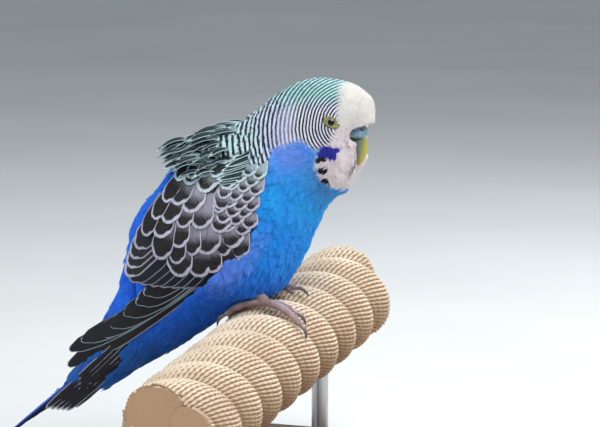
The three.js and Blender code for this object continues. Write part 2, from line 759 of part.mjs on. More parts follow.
function cereSolid(grow = 0) {
  let cere = billPart(CERE, 8, grow, grow > 0 ? 1 : 2);
  if (grow > 0) return cere;
  for (const side of [-1, 1]) {
    const hole = limb([
      { at: [35.4, side * 2.3, 78.9], thick: 1.1 },
      { at: [33.0, side * 1.8, 78.2], thick: 0.8 },
    ], 6, 0, 1);
    cere = cere.subtract(hole);
  }
  return cere.subtract(billPart(UPPER_BILL, 12, GAP));
}

// The base: a flat board with a bevelled top edge
function baseSolid() {
  const board = new THREE.Shape();
  board.moveTo(-BASE_LENGTH / 2 + BASE_BEVEL, -BASE_WIDTH / 2 + BASE_BEVEL);
  board.lineTo(BASE_LENGTH / 2 - BASE_BEVEL, -BASE_WIDTH / 2 + BASE_BEVEL);
  board.lineTo(BASE_LENGTH / 2 - BASE_BEVEL, BASE_WIDTH / 2 - BASE_BEVEL);
  board.lineTo(-BASE_LENGTH / 2 + BASE_BEVEL, BASE_WIDTH / 2 - BASE_BEVEL);
  board.closePath();
  const geometry = new THREE.ExtrudeGeometry(board, {
    depth: BASE_THICKNESS - 2 * BASE_BEVEL,
    bevelThickness: BASE_BEVEL,
    bevelSize: BASE_BEVEL,
    bevelSegments: 1,
  });
  geometry.translate(0, 0, BASE_BEVEL);
  return solidFrom(geometry);
}

// Materials
function paint(colour, roughness, metalness = 0) {
  return new THREE.MeshStandardMaterial({ color: colour, roughness, metalness });
}
const WHITE_DOWN = paint(0xe9e4ea, 0.9);
const NECK_DOWN = paint(0x9fc9e6, 0.9);
const BLUE_DOWN = paint(0x0a6fdc, 0.9);
const WING_DARK = paint(0x3a3840, 0.7);
const FLIGHT_DARK = paint(0x17202c, 0.6);
const TAIL_BLUE = paint(0x1d4fb4, 0.6);
const HORN = paint(0x9a9a3c, 0.35);
const CERE_SKIN = paint(0x8fa3c4, 0.4);
const EYE_BLACK = paint(0x08080a, 0.05);
const LEG_SKIN = paint(0x8f8188, 0.6);
const CLAW_HORN = paint(0x55504f, 0.4);
const ROPE_FIBRE = paint(0xcdb893, 0.95);
const WOOD = paint(0x7b5a3c, 0.5);
const STEEL = paint(0x8a8c90, 0.35, 0.9);

const bird = new THREE.Group();
bird.position.set(0, 0, PERCH_HEIGHT);
const model = new THREE.Group();
model.add(bird);

function addNode(group, name, solid, material) {
  const mesh = largest(solid).getMesh();
  const geometry = new THREE.BufferGeometry();
  geometry.setAttribute('position', new THREE.BufferAttribute(mesh.vertProperties, 3));
  geometry.setIndex(new THREE.BufferAttribute(mesh.triVerts, 1));
  const node = new THREE.Mesh(geometry, material);
  node.name = name;
  group.add(node);
}

const bed = wingBed();
const beds = join([bed, bed.mirror([0, 1, 0])]);

// Legs first, because the body is cut clear of them
const SIDES = { right: -1, left: 1 };
const FOOT_TURN = { right: 1, left: -33 };
const ropeClear = ropeReach(GAP, 32);
const legRoom = [];
for (const [name, side] of Object.entries(SIDES)) {
  const turn = FOOT_TURN[name];
  const ankle = point(...onRope(side * FOOT_SIDE, turn, TOE_LIFT + ANKLE_LIFT));
  const shankClear = shank(side, turn, GAP);
  const thighClear = thigh(side, turn, GAP);
  let foot = join([...TOES.map((toe) => toeSolid(side, turn, toe)), ball(ankle, ANKLE_RADIUS, 8, 6)]);
  for (const toe of TOES) {
    addNode(bird, `claw_${name}_${toe.name}`, clawSolid(side, turn, toe), CLAW_HORN);
    foot = foot.subtract(clawSolid(side, turn, toe, GAP));
  }
  addNode(bird, `foot_${name}`, foot.subtract(shankClear), LEG_SKIN);
  addNode(bird, `shank_${name}`, shank(side, turn).subtract(thighClear), LEG_SKIN);
  addNode(bird, `thigh_${name}`, thigh(side, turn).subtract(join([ropeClear, beds])), BLUE_DOWN);
  legRoom.push(thighClear, shankClear, footRoom(side, turn));
}

// Body, parted by thin cuts
const bodyClear = join([beds, ropeClear, ...legRoom]);
const billClear = join([billPart(UPPER_BILL, 12, GAP), billPart(LOWER_BILL, 8, GAP, 1), cereSolid(GAP)]);
const eyes = [-1, 1].map((side) => ball(eyeCentre(side).at, EYE_RADIUS, 14, 8));
const eyesClear = [-1, 1].map((side) => ball(eyeCentre(side).at, EYE_RADIUS + GAP, 14, 8));
let head = join([bodyPart(0, 0.37, 16, 24), lid(-1), lid(1)]);
head = keepSide(head, NECK_CUT, -1).subtract(join([billClear, ...eyesClear]));
const neck = keepSide(keepSide(bodyPart(0.27, 0.44, 5, 24), NECK_CUT, 1), SHOULDER_CUT, -1);
const torso = keepSide(keepSide(bodyPart(0.34, 0.84, 13, 24), SHOULDER_CUT, 1), RUMP_CUT, -1);
addNode(bird, 'head', head, WHITE_DOWN);
addNode(bird, 'neck', neck.subtract(bodyClear), NECK_DOWN);
addNode(bird, 'torso', torso.subtract(bodyClear), BLUE_DOWN);
addNode(bird, 'eye_right', eyes[0], EYE_BLACK);
addNode(bird, 'eye_left', eyes[1], EYE_BLACK);
addNode(bird, 'cere', cereSolid(), CERE_SKIN);
addNode(bird, 'bill_upper', billPart(UPPER_BILL, 12), HORN);
addNode(bird, 'bill_lower', billPart(LOWER_BILL, 8, 0, 1).subtract(billPart(UPPER_BILL, 12, GAP)), HORN);

// Wings, tail and the feathers that cover the root of the tail
const wingCoverts = coverts();
const wingBlades = flight();
addNode(bird, 'wing_right_coverts', wingCoverts, WING_DARK);
addNode(bird, 'wing_right_flight', wingBlades, FLIGHT_DARK);
addNode(bird, 'wing_left_coverts', wingCoverts.mirror([0, 1, 0]), WING_DARK);
addNode(bird, 'wing_left_flight', wingBlades.mirror([0, 1, 0]), FLIGHT_DARK);
const sleeve = keepSide(bodyPart(0.72, 1, 9, 20), RUMP_CUT, 1).subtract(join([beds, ropeClear, tailRoom()]));
const split = { back: [TAIL_TIP.x, TAIL_TIP.z], belly: [TAIL_ROOT.x, TAIL_ROOT.z] };
addNode(bird, 'tail_coverts_upper', keepSide(sleeve, split, 1), BLUE_DOWN);
addNode(bird, 'tail_coverts_under', keepSide(sleeve, split, -1), BLUE_DOWN);
addNode(bird, 'tail', tailFeathers(), TAIL_BLUE);

// Perch and stand
addNode(bird, 'perch_rope', ropeSolid(32, 15), ROPE_FIBRE);
const ropeCutter = ropeSolid(32, 15, GAP).translate([0, 0, PERCH_HEIGHT]);
for (const [name, y] of [['near', -ROD_SPACING / 2], ['far', ROD_SPACING / 2]]) {
  const top = PERCH_HEIGHT + ropeAxis(y).z - ROPE_RADIUS * 0.5;
  const height = top - BASE_THICKNESS - GAP;
  const rod = new THREE.CylinderGeometry(ROD_DIAMETER / 2, ROD_DIAMETER / 2, height, 20);
  rod.rotateX(Math.PI / 2);
  rod.translate(0, y, BASE_THICKNESS + GAP + height / 2);
  addNode(model, `stand_rod_${name}`, solidFrom(rod).subtract(ropeCutter), STEEL);
}
addNode(model, 'stand_base', baseSolid(), WOOD);

export default model;
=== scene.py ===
# A life-size budgerigar as a still museum model, sitting on a cut length of thick laid rope that a
# plain wooden stand holds up. Metres in the scene. The bird's own sizes are in millimetres, from the
# middle line of the rope below its feet, and are turned into metres as each mesh is made.
import json
import math

import bpy
import numpy as np
from mathutils import Matrix, Vector

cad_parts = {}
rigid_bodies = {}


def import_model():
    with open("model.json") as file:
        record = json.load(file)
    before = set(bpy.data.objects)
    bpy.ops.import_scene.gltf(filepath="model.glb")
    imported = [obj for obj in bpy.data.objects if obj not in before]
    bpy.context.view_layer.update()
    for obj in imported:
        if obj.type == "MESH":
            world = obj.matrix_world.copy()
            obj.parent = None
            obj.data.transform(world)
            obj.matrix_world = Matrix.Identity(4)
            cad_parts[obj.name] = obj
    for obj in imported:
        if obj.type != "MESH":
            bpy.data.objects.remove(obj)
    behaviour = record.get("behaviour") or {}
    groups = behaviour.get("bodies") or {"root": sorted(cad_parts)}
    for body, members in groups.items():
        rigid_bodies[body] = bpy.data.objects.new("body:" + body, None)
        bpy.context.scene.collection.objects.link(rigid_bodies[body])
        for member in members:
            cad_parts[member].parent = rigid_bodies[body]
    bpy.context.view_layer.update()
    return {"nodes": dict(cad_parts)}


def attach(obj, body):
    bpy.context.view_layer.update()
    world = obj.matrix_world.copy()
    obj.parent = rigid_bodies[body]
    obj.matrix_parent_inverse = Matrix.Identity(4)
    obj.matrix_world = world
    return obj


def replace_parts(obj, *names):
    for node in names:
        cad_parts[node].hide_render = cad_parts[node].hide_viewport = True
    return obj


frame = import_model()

# Studio: a pale floor and soft lights, and a camera that looks at the bird's right side from a
# little in front of it and a little above, as the photograph does. The long lens keeps the head
# and the tail at one scale.
MM = 0.001
CAMERA_AIM = Vector((6.53, 9.80, 95.28)) * MM
CAMERA_AZIMUTH = 22
CAMERA_RISE = 8
CAMERA_DISTANCE = 1.2
LENS_MM = 208.8
SENSOR_MM = 36
VIEW_END = 20
SKY_COLOUR = (0.80, 0.86, 0.92, 1)
SKY_STRENGTH = 0.42
FLOOR_HALF = 6
# name, azimuth and rise in degrees, distance, size, watts, colour
LAMPS = [
    ("key", 48, 52, 0.75, 0.42, 6.0, (1.0, 0.97, 0.93)),
    ("fill", -52, 22, 0.85, 0.6, 2.6, (0.90, 0.95, 1.0)),
    ("rim", 165, 48, 0.8, 0.35, 4.0, (0.93, 0.96, 1.0)),
    ("left", 118, 28, 0.9, 0.5, 2.6, (1.0, 0.98, 0.95)),
]
BLACK = (0, 0, 0)
WHITE = (1, 1, 1)


def add_object(name, data):
    """Puts a new object into the scene."""
    thing = bpy.data.objects.new(name, data)
    bpy.context.scene.collection.objects.link(thing)
    return thing


def stand_off(thing, azimuth, rise, distance):
    """Sets a thing on a ball round the aim, with azimuth from -Y towards +X, and turns it to the aim."""
    azimuth, rise = math.radians(azimuth), math.radians(rise)
    flat = math.cos(rise) * distance
    thing.location = CAMERA_AIM + Vector((math.sin(azimuth) * flat, -math.cos(azimuth) * flat,
                                          math.sin(rise) * distance))
    thing.rotation_euler = (CAMERA_AIM - thing.location).to_track_quat("-Z", "Y").to_euler()


camera = add_object("camera", bpy.data.cameras.new("camera"))
camera.data.lens = LENS_MM
camera.data.sensor_width = SENSOR_MM
camera.data.clip_end = VIEW_END
stand_off(camera, CAMERA_AZIMUTH, CAMERA_RISE, CAMERA_DISTANCE)
bpy.context.scene.camera = camera
for name, azimuth, rise, distance, size, watts, light in LAMPS:
    lamp = add_object(name, bpy.data.lights.new(name, "AREA"))
    lamp.data.size = size
    lamp.data.energy = watts
    lamp.data.color = light
    stand_off(lamp, azimuth, rise, distance)

studio_air = bpy.data.worlds.new("studio_air")
studio_air.use_nodes = True
studio_air.node_tree.nodes["Background"].inputs["Color"].default_value = SKY_COLOUR
studio_air.node_tree.nodes["Background"].inputs["Strength"].default_value = SKY_STRENGTH
bpy.context.scene.world = studio_air
bpy.context.scene.view_settings.view_transform = "Standard"


def wire(tree, node, inputs):
    """Links a node's inputs to sockets or sets them to values, by name or by number."""
    for key, value in inputs.items():
        if isinstance(value, bpy.types.NodeSocket):
            tree.links.new(value, node.inputs[key])
        else:
            node.inputs[key].default_value = value


def put_node(tree, kind, inputs=None, **settings):
    """Adds a node to a tree, with its settings, and wires or sets its inputs."""
    node = tree.nodes.new(kind)
    for key, value in settings.items():
        setattr(node, key, value)
    wire(tree, node, inputs or {})
    return node


class Finish:
    """A material under construction. Its settings are the shader's own sockets, as plain numbers."""

    def __init__(self, name, **settings):
        self.material = bpy.data.materials.new(name)
        self.material.use_nodes = True
        self.tree = self.material.node_tree
        self.shader = self.tree.nodes["Principled BSDF"]
        wire(self.tree, self.shader, {key.replace("_", " "): value for key, value in settings.items()})
        self.object_place = self.put("ShaderNodeTexCoord").outputs["Object"]

    def put(self, kind, inputs=None, **settings):
        """Adds a shader node."""
        return put_node(self.tree, kind, inputs, **settings)

    def read(self, attribute, output="Fac"):
        """What a piece's mesh holds under a name."""
        return self.put("ShaderNodeAttribute", attribute_name=attribute).outputs[output]

    def sum(self, operation, *values):
        """One sum with numbers or sockets."""
        return self.put("ShaderNodeMath", dict(enumerate(values)), operation=operation).outputs[0]

    def level(self, value, times, plus):
        """A value times a number, plus a number or another value."""
        return self.sum("ADD", self.sum("MULTIPLY", value, times), plus)

    def swing(self, value, reach, middle=0.0):
        """A value from 0 to 1 made to swing round a middle."""
        return self.level(self.sum("SUBTRACT", value, 0.5), reach, middle)

    def noise(self, scale, detail=2.0, stretch=(1, 1, 1), place=None, roughness=0.5):
        """Noise in the piece's own space, or in another, finer as its scale grows."""
        mapping = self.put("ShaderNodeMapping", {"Vector": place or self.object_place, "Scale": stretch})
        settings = {"Scale": scale, "Detail": detail, "Roughness": roughness}
        return self.put("ShaderNodeTexNoise", {"Vector": mapping.outputs[0], **settings}).outputs["Fac"]

    def ramp(self, value, *stops):
        """Colours along a value, from stops of place and colour."""
        node = self.put("ShaderNodeValToRGB", {"Fac": value})
        elements = node.color_ramp.elements
        while len(elements) < len(stops):
            elements.new(0.5)
        for element, (at, tone) in zip(elements, stops):
            element.position = at
            element.color = (*tone, 1)
        return node.outputs["Color"]

    def rise(self, value, low, high):
        """Black below low and white above high."""
        return self.ramp(value, (low, BLACK), (high, WHITE))

    def fall(self, value, low, high):
        """White below low and black above high."""
        return self.ramp(value, (low, WHITE), (high, BLACK))

    def mix(self, share, low, high, blend="MIX"):
        """Lays one colour over another by a share."""
        low, high = ((*tone, 1) if isinstance(tone, tuple) else tone for tone in (low, high))
        node = self.put("ShaderNodeMix", {0: share, 6: low, 7: high}, data_type="RGBA", blend_type=blend)
        return node.outputs[2]

    def bump(self, height, depth, strength, under=None):
        """Small relief, over another relief if asked."""
        inputs = {"Height": height, "Distance": depth, "Strength": strength}
        if under is not None:
            inputs["Normal"] = under
        return self.put("ShaderNodeBump", inputs).outputs["Normal"]

    def wear(self, **inputs):
        """Wires colour, roughness or bump into the shader and hands back the finished material."""
        names = {"colour": "Base Color", "roughness": "Roughness", "bump": "Normal"}
        wire(self.tree, self.shader, {names[key]: value for key, value in inputs.items()})
        return self.material


floor_paint = Finish("studio_floor", Roughness=0.85)
floor_tone = floor_paint.ramp(floor_paint.noise(6, 3), (0.3, (0.66, 0.68, 0.68)), (0.8, (0.60, 0.62, 0.62)))
floor_mesh = bpy.data.meshes.new("studio_floor")
floor_mesh.from_pydata([(-FLOOR_HALF, -FLOOR_HALF, 0), (FLOOR_HALF, -FLOOR_HALF, 0),
                        (FLOOR_HALF, FLOOR_HALF, 0), (-FLOOR_HALF, FLOOR_HALF, 0)], [], [(0, 1, 2, 3)])
floor_mesh.materials.append(floor_paint.wear(colour=floor_tone))
floor = add_object("studio_floor", floor_mesh)


# Stand board: a plank of dark stained hardwood with its top edges bevelled, sanded and waxed. Its
# grain runs along its longer side.
wood = Finish("waxed_wood", Roughness=0.42)
grain = wood.noise(42, 6, (1, 0.06, 1), roughness=0.62)
fine_grain = wood.noise(420, 4, (1, 0.035, 1), roughness=0.6)
plank_place = wood.put("ShaderNodeMapping", {"Vector": wood.object_place, "Scale": (1, 0.05, 1)}).outputs[0]
cathedral = wood.put("ShaderNodeTexWave", {"Vector": plank_place, "Scale": 34, "Distortion": 9, "Detail": 3,
                                           "Detail Scale": 1.4}, wave_type="RINGS").outputs["Fac"]
board_tone = wood.ramp(wood.level(grain, 0.6, wood.sum("MULTIPLY", cathedral, 0.35)),
                       (0.18, (0.075, 0.036, 0.018)), (0.5, (0.155, 0.078, 0.038)),
                       (0.8, (0.24, 0.125, 0.062)))
board_tone = wood.mix(wood.sum("MULTIPLY", fine_grain, 0.5), board_tone, (0.05, 0.024, 0.012))
waxed_wood = wood.wear(colour=board_tone, roughness=wood.level(fine_grain, 0.3, 0.26),
                       bump=wood.bump(wood.sum("ADD", fine_grain, grain), 0.0004, 0.35))


def repaint(node, material):
    """Gives a CAD node that keeps its shape a better finish."""
    held = frame["nodes"][node]
    held.data.materials.clear()
    held.data.materials.append(material)


repaint("stand_base", waxed_wood)

# Rods: two polished steel rods, turned round, with a trace of brushing round them, let into the
# board below and into the rope above.
steel = Finish("brushed_steel", Roughness=0.3, Metallic=1.0)
brushing = steel.noise(260, 3, (1, 1, 0.05))
turning = steel.noise(900, 2, (0.05, 0.05, 1))
brushed_steel = steel.wear(
    colour=steel.ramp(brushing, (0.3, (0.42, 0.43, 0.45)), (0.75, (0.62, 0.63, 0.65))),
    roughness=steel.level(brushing, 0.2, 0.2), bump=steel.bump(turning, 0.00006, 0.4))
for rod in ("stand_rod_near", "stand_rod_far"):
    repaint(rod, brushed_steel)

# Perch: a cut length of pale hemp rope, three strands laid to the right. Each strand is a core with
# two-ply cords round it that turn the other way, so that on the rope's outside they run nearly
# along it. Only the stretches of cord that show are made, and they dive into the core.
PERCH_HEIGHT = 48
ROPE_RADIUS = 18.5
ROPE_SLOPE = math.radians(8.2)
ROPE_ENDS = (-90, 70)
ROPE_PITCH = 52
STRANDS = 3
STRAND_RADIUS = ROPE_RADIUS * 0.464
STRAND_OFFSET = ROPE_RADIUS - STRAND_RADIUS
STRAND_CUT = 0.25
STRAND_CLIMB = math.atan2(2 * math.pi * STRAND_OFFSET, ROPE_PITCH)
CORD_RADIUS = 0.9
CORD_SQUASH = 0.72
CORD_SIDES = 7
CORDS_A_STRAND = 26
CORD_TURN = 0.296
CORD_STEP = 0.42
CORD_PLY_PITCH = 5.2
CORD_SHOWS_FROM = 11.2
CORD_SHORTEST = 5
CORE_RADIUS = STRAND_RADIUS - CORD_RADIUS * 1.15
CORE_SIDES = 24
CORE_RINGS = 82

rope_slant = np.array([0, math.cos(ROPE_SLOPE), math.sin(ROPE_SLOPE)])
rope_up = np.array([0, -math.sin(ROPE_SLOPE), math.cos(ROPE_SLOPE)])
rope_side = np.array([1.0, 0, 0])
rope_start, rope_stop = (end / math.cos(ROPE_SLOPE) for end in ROPE_ENDS)


def in_frame(points):
    """Millimetres from the rope's middle line to metres in the frame."""
    return (np.asarray(points, float) + (0, 0, PERCH_HEIGHT)) * MM


def make_piece(name, points, faces, material):
    """A mesh piece in its final place, from places in millimetres."""
    mesh = bpy.data.meshes.new(name)
    mesh.from_pydata(in_frame(points).tolist(), [], faces)
    mesh.materials.append(material)
    mesh.polygons.foreach_set("use_smooth", [True] * len(mesh.polygons))
    mesh.update()
    return fit_piece(add_object(name, mesh))


def fit_piece(piece):
    """Fixes a finished piece to the model's one body."""
    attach(piece, "root")
    return piece


def write(mesh, name, values, kind="FLOAT"):
    """Stores one number, vector or colour for each point of a mesh."""
    field = {"FLOAT_VECTOR": "vector", "FLOAT_COLOR": "color"}.get(kind, "value")
    layer = mesh.attributes.new(name, kind, "POINT")
    number = np.int32 if kind == "INT" else np.float32
    layer.data.foreach_set(field, np.ascontiguousarray(values, number).ravel())


def tube_faces(rings, sides, first=0):
    """Faces of a closed tube: quads between its rings of points, and one face over each end."""
    faces = []
    for ring in range(rings - 1):
        for side in range(sides):
            low = first + ring * sides + side
            high = first + ring * sides + (side + 1) % sides
            faces.append((low, high, high + sides, low + sides))
    last = first + (rings - 1) * sides
    return faces + [tuple(range(first + sides - 1, first - 1, -1)), tuple(range(last, last + sides))]


def turned_over(faces):
    """The same faces, facing the other way."""
    return [face[::-1] for face in faces]


def strand_place(strand, along, around, radius):
    """A place on or in a strand: along the rope, and around the strand's own middle."""
    turn = 2 * math.pi * (strand / STRANDS + along / ROPE_PITCH)
    outward = np.outer(np.sin(turn), rope_side) + np.outer(np.cos(turn), rope_up)
    round_way = np.outer(np.cos(turn), rope_side) - np.outer(np.sin(turn), rope_up)
    across = round_way * math.cos(STRAND_CLIMB) - rope_slant * math.sin(STRAND_CLIMB)
    middle = np.outer(along, rope_slant) + outward * STRAND_OFFSET
    return middle + radius * (outward * np.cos(around)[:, None] + across * np.sin(around)[:, None])


def geometry_tree(name, sizes):
    """A geometry tree with its named inputs, given as name, kind and value."""
    tree = bpy.data.node_groups.new(name, "GeometryNodeTree")
    tree.interface.new_socket("Geometry", in_out="INPUT", socket_type="NodeSocketGeometry")
    for label, kind in sizes:
        tree.interface.new_socket(label, in_out="INPUT", socket_type="NodeSocket" + kind)
    tree.interface.new_socket("Geometry", in_out="OUTPUT", socket_type="NodeSocketGeometry")
    return tree, tree.nodes.new("NodeGroupInput").outputs


def end_tree(tree, shape, finish):
    """Makes a tree's instances real, gives them their finish and hands them out."""
    real = put_node(tree, "GeometryNodeRealizeInstances", {"Geometry": shape})
    done = put_node(tree, "GeometryNodeSetMaterial", {"Geometry": real.outputs[0], "Material": finish})
    put_node(tree, "NodeGroupOutput", {"Geometry": done.outputs[0]})


def run_tree(name, data, tree, values):
    """Runs a geometry tree on a mesh or curve and keeps the result as a plain mesh."""
    source = add_object(name, data)
    modifier = source.modifiers.new(tree.name, "NODES")
    modifier.node_group = tree
    for item in tree.interface.items_tree:
        if item.in_out == "INPUT" and item.name in values:
            modifier[item.identifier] = values[item.name]
    bpy.context.view_layer.update()
    result = bpy.data.meshes.new_from_object(source.evaluated_get(bpy.context.evaluated_depsgraph_get()))
    bpy.data.objects.remove(source)
    result.name = name
    return add_object(name, result)


cord_tree, cord_in = geometry_tree("laid_cords", [
    ("Cord radius", "Float"), ("Squash", "Float"), ("Sides", "Int"), ("Finish", "Material")])
cord_ring = put_node(cord_tree, "GeometryNodeCurvePrimitiveCircle", {
    "Resolution": cord_in["Sides"], "Radius": cord_in["Cord radius"]})
cord_flat = put_node(cord_tree, "ShaderNodeCombineXYZ", {"X": 1.0, "Y": cord_in["Squash"], "Z": 1.0})
cord_section = put_node(cord_tree, "GeometryNodeTransform", {
    "Geometry": cord_ring.outputs["Curve"], "Scale": cord_flat.outputs[0]})
cord_skin = put_node(cord_tree, "GeometryNodeCurveToMesh", {
    "Curve": cord_in["Geometry"], "Profile Curve": cord_section.outputs["Geometry"], "Fill Caps": True})
end_tree(cord_tree, cord_skin.outputs["Mesh"], cord_in["Finish"])

hemp = Finish("hemp_cord", Roughness=0.92)
hemp_fuzz = hemp.noise(2600, 3, (1, 0.3, 1), roughness=0.7)
hemp_tone = hemp.ramp(hemp.noise(55, 4), (0.3, (0.56, 0.47, 0.36)), (0.52, (0.71, 0.63, 0.50)),
                      (0.75, (0.79, 0.74, 0.63)))
# painted shade: cords and core turn a darker brown on faces that point down or sideways, the cut ends too
outward = hemp.put("ShaderNodeNewGeometry").outputs["Normal"]
upward = hemp.put("ShaderNodeSeparateXYZ", {"Vector": outward}).outputs["Z"]
hemp_tone = hemp.mix(hemp.fall(upward, 0.0, 0.62), hemp_tone, (0.46, 0.28, 0.16))
hemp_tone = hemp.mix(hemp.sum("MULTIPLY", hemp_fuzz, 0.4), hemp_tone, (0.36, 0.25, 0.16))
hemp_cord = hemp.wear(colour=hemp_tone, bump=hemp.bump(hemp_fuzz, 0.0003, 0.7))

# a core's rings lie square to the rope, so that the cut ends are flat
core_angles = np.linspace(0, 2 * math.pi, CORE_SIDES, endpoint=False)
core_lean = CORE_RADIUS * math.sin(STRAND_CLIMB) * np.sin(core_angles)
core_points, core_faces = [], []
for strand in range(STRANDS):
    name = f"perch_strand_{strand + 1}"
    line = bpy.data.curves.new(name, "CURVE")
    line.dimensions = "3D"
    start, stop = rope_start + STRAND_CUT * strand, rope_stop - STRAND_CUT * strand
    steps = np.arange(rope_start - STRAND_RADIUS, rope_stop + STRAND_RADIUS, CORD_STEP)
    for cord in range(CORDS_A_STRAND):
        around = 2 * math.pi * cord / CORDS_A_STRAND - CORD_TURN * steps
        places = strand_place(strand, steps, around, STRAND_RADIUS - CORD_RADIUS)
        ahead = places @ rope_slant
        shows = np.hypot(places[:, 0], places @ rope_up) > CORD_SHOWS_FROM
        shows &= (ahead > start) & (ahead < stop)
        changes = np.flatnonzero(np.diff(np.r_[False, shows, False].astype(int))).reshape(-1, 2)
        for first, end in changes:
            if end - first <= CORD_SHORTEST:
                continue
            run = in_frame(places[first:end])
            walked = np.r_[0, np.cumsum(np.linalg.norm(np.diff(run, axis=0), axis=1))] / MM
            thread = line.splines.new("POLY")
            thread.points.add(len(run) - 1)
            thread.points.foreach_set("co", np.c_[run, np.ones(len(run))].ravel())
            thread.points.foreach_set("tilt", 2 * math.pi * walked / CORD_PLY_PITCH)
    cords = run_tree(name, line, cord_tree, {
        "Cord radius": CORD_RADIUS * MM, "Squash": CORD_SQUASH, "Sides": CORD_SIDES, "Finish": hemp_cord})
    cords.data.polygons.foreach_set("use_smooth", [True] * len(cords.data.polygons))
    fit_piece(cords)
    core_faces += tube_faces(CORE_RINGS, CORE_SIDES, len(core_points))
    for along in np.linspace(start, stop, CORE_RINGS):
        core_points.extend(strand_place(strand, along + core_lean, core_angles, CORE_RADIUS))
rope_core = make_piece("perch_core", core_points, core_faces, hemp_cord)
rope_core.data.polygons.foreach_set("use_smooth", [len(face) == 4 for face in core_faces])
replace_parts(rope_core, "perch_rope")


# Skin: one closed skin for head, neck, body and thighs, lofted through sections from the forehead to
# the root of the tail. It lies a little inside the coat's outline, and sinks below the folded wings.
# Each section has its place on the back and on the belly and half of its width.
BODY = [
    ((37.0, 83.0), (37.0, 82.0), 0.5), ((35.6, 89.2), (34.6, 77.6), 7.0), ((31.0, 93.2), (30.6, 71.0), 11.4),
    ((24.0, 95.4), (30.2, 63.6), 13.8), ((14.5, 95.4), (28.4, 58.3), 15.3),
    ((4.0, 90.8), (23.6, 54.6), 16.6), ((-7.0, 82.6), (19.4, 50.2), 19.0),
    ((-19.5, 75.6), (16.2, 44.3), 21.8), ((-33.0, 66.6), (13.0, 37.0), 23.8),
    ((-41.6, 54.0), (9.0, 29.4), 24.4), ((-47.8, 42.0), (4.0, 23.0), 24.0),
    ((-53.0, 30.0), (-5.0, 18.6), 21.8), ((-57.6, 18.0), (-17.0, 12.0), 17.6),
    ((-63.0, 9.0), (-31.0, 2.5), 12.4), ((-69.0, 1.0), (-47.0, -7.5), 8.4),
    ((-76.0, -10.0), (-62.0, -16.5), 5.6), ((-79.6, -18.2), (-79.0, -19.6), 1.0)]
BODY_ROUNDNESS = 2.1
THINNEST = 0.05
SKIN_RINGS = 150
SKIN_SIDES = 96
SKIN_DEPTH = [(0.0, 0.3), (0.12, 0.32), (0.22, 0.5), (0.34, 0.9), (0.5, 1.5), (0.8, 1.5), (1.0, 0.9)]

# The folded wing's own sheet: p along it, q from the back to the belly, h off it
WING_SHOULDER = np.array([4.8, -21, 59.4])
WING_TIP = np.array([-75.6, -5, -2.9])
WING_BULGE = [(-10, -4), (0, -1), (10, 2.2), (20, 5.6), (30, 8.2), (40, 9.8), (50, 10.3), (65, 9.4), (80, 6),
              (95, 2), (110, 0)]
WING_CURVE = [(-10, 0.0167), (60, 0.0167), (85, 0.012), (110, 0.005)]
WING_ENDS = (-7, 112)
WING_BED = [(-10, -1.6), (18, -1.6), (23, -4.5), (110, -4.5)]
WING_BED_SLOPE = (-0.6, 2.0)
WING_BACK_EDGE = [(-8, -14), (2, -21), (12, -26), (20, -28.5), (29, -28), (41, -22), (52, -16), (60, -11),
                  (74, -6.5), (96, -5), (108, -3)]
WING_BELLY_EDGE = [(-8, -1), (1, 7.5), (10, 14.5), (20, 18), (44, 17), (63, 16.5), (76, 14), (87, 12),
                   (100, 10.5), (108, 9)]
# where the breast's feathers end and the wing's begin
COVERT_EDGE = [(-6.5, -10.8), (-4.5, -6.5), (-0.8, -1.0), (2.2, 3.0), (5.8, 6.5), (9.5, 9.5), (13.5, 11.8),
               (18, 12.6), (30, 14.5), (44, 16), (70, 14)]
# where the rump's feathers end and the wing's begin
VANE_EDGE = [(-8, -14), (2, -21), (12, -26), (20, -28.5), (29, -28), (36, -21), (45, -14), (52, -12),
             (58, -8), (61, -3), (64, -0.5), (80, 0), (97, -2), (108, -3)]


def unit(vectors, guard=0.0):
    """Vectors made one long. The guard keeps those without length from dividing by nothing."""
    return vectors / (np.linalg.norm(vectors, axis=-1, keepdims=True) + guard)


wing_along = unit(WING_TIP - WING_SHOULDER)
wing_out = unit(np.array([0, -1.0, 0]) + wing_along * wing_along[1])
wing_across = np.cross(wing_out, wing_along)


def between(table, at):
    """A value from a table of places and values, with straight lines between them."""
    places, values = zip(*table)
    return np.interp(at, places, values)


def ease(value, low, high):
    """0 below low, 1 above high and a smooth step between."""
    share = np.clip((value - low) / (high - low), 0, 1)
    return share * share * (3 - 2 * share)


def on_left(points):
    """The same places, all brought to the bird's left side."""
    return np.stack([points[..., 0], np.abs(points[..., 1]), points[..., 2]], -1)


def wing_place(p, q, h):
    """Right wing's sheet coordinates to millimetres."""
    off = between(WING_BULGE, p) - between(WING_CURVE, p) * q * q + h
    return WING_SHOULDER + np.multiply.outer(p, wing_along) + np.multiply.outer(q, wing_across) \
        + np.multiply.outer(off, wing_out)


def wing_chart(points):
    """Millimetres, on either side of the bird, to the wing's sheet coordinates."""
    away = on_left(points) * (1, -1, 1) - WING_SHOULDER
    p, q = away @ wing_along, away @ wing_across
    return p, q, away @ wing_out - between(WING_BULGE, p) + between(WING_CURVE, p) * q * q


def inside_wing(p, q):
    """How many millimetres a place is inside the wing's outline, negative outside it."""
    margin = np.minimum(q - between(WING_BACK_EDGE, p), between(WING_BELLY_EDGE, p) - q)
    return np.minimum(margin, np.minimum(p - WING_ENDS[0], WING_ENDS[1] - p))


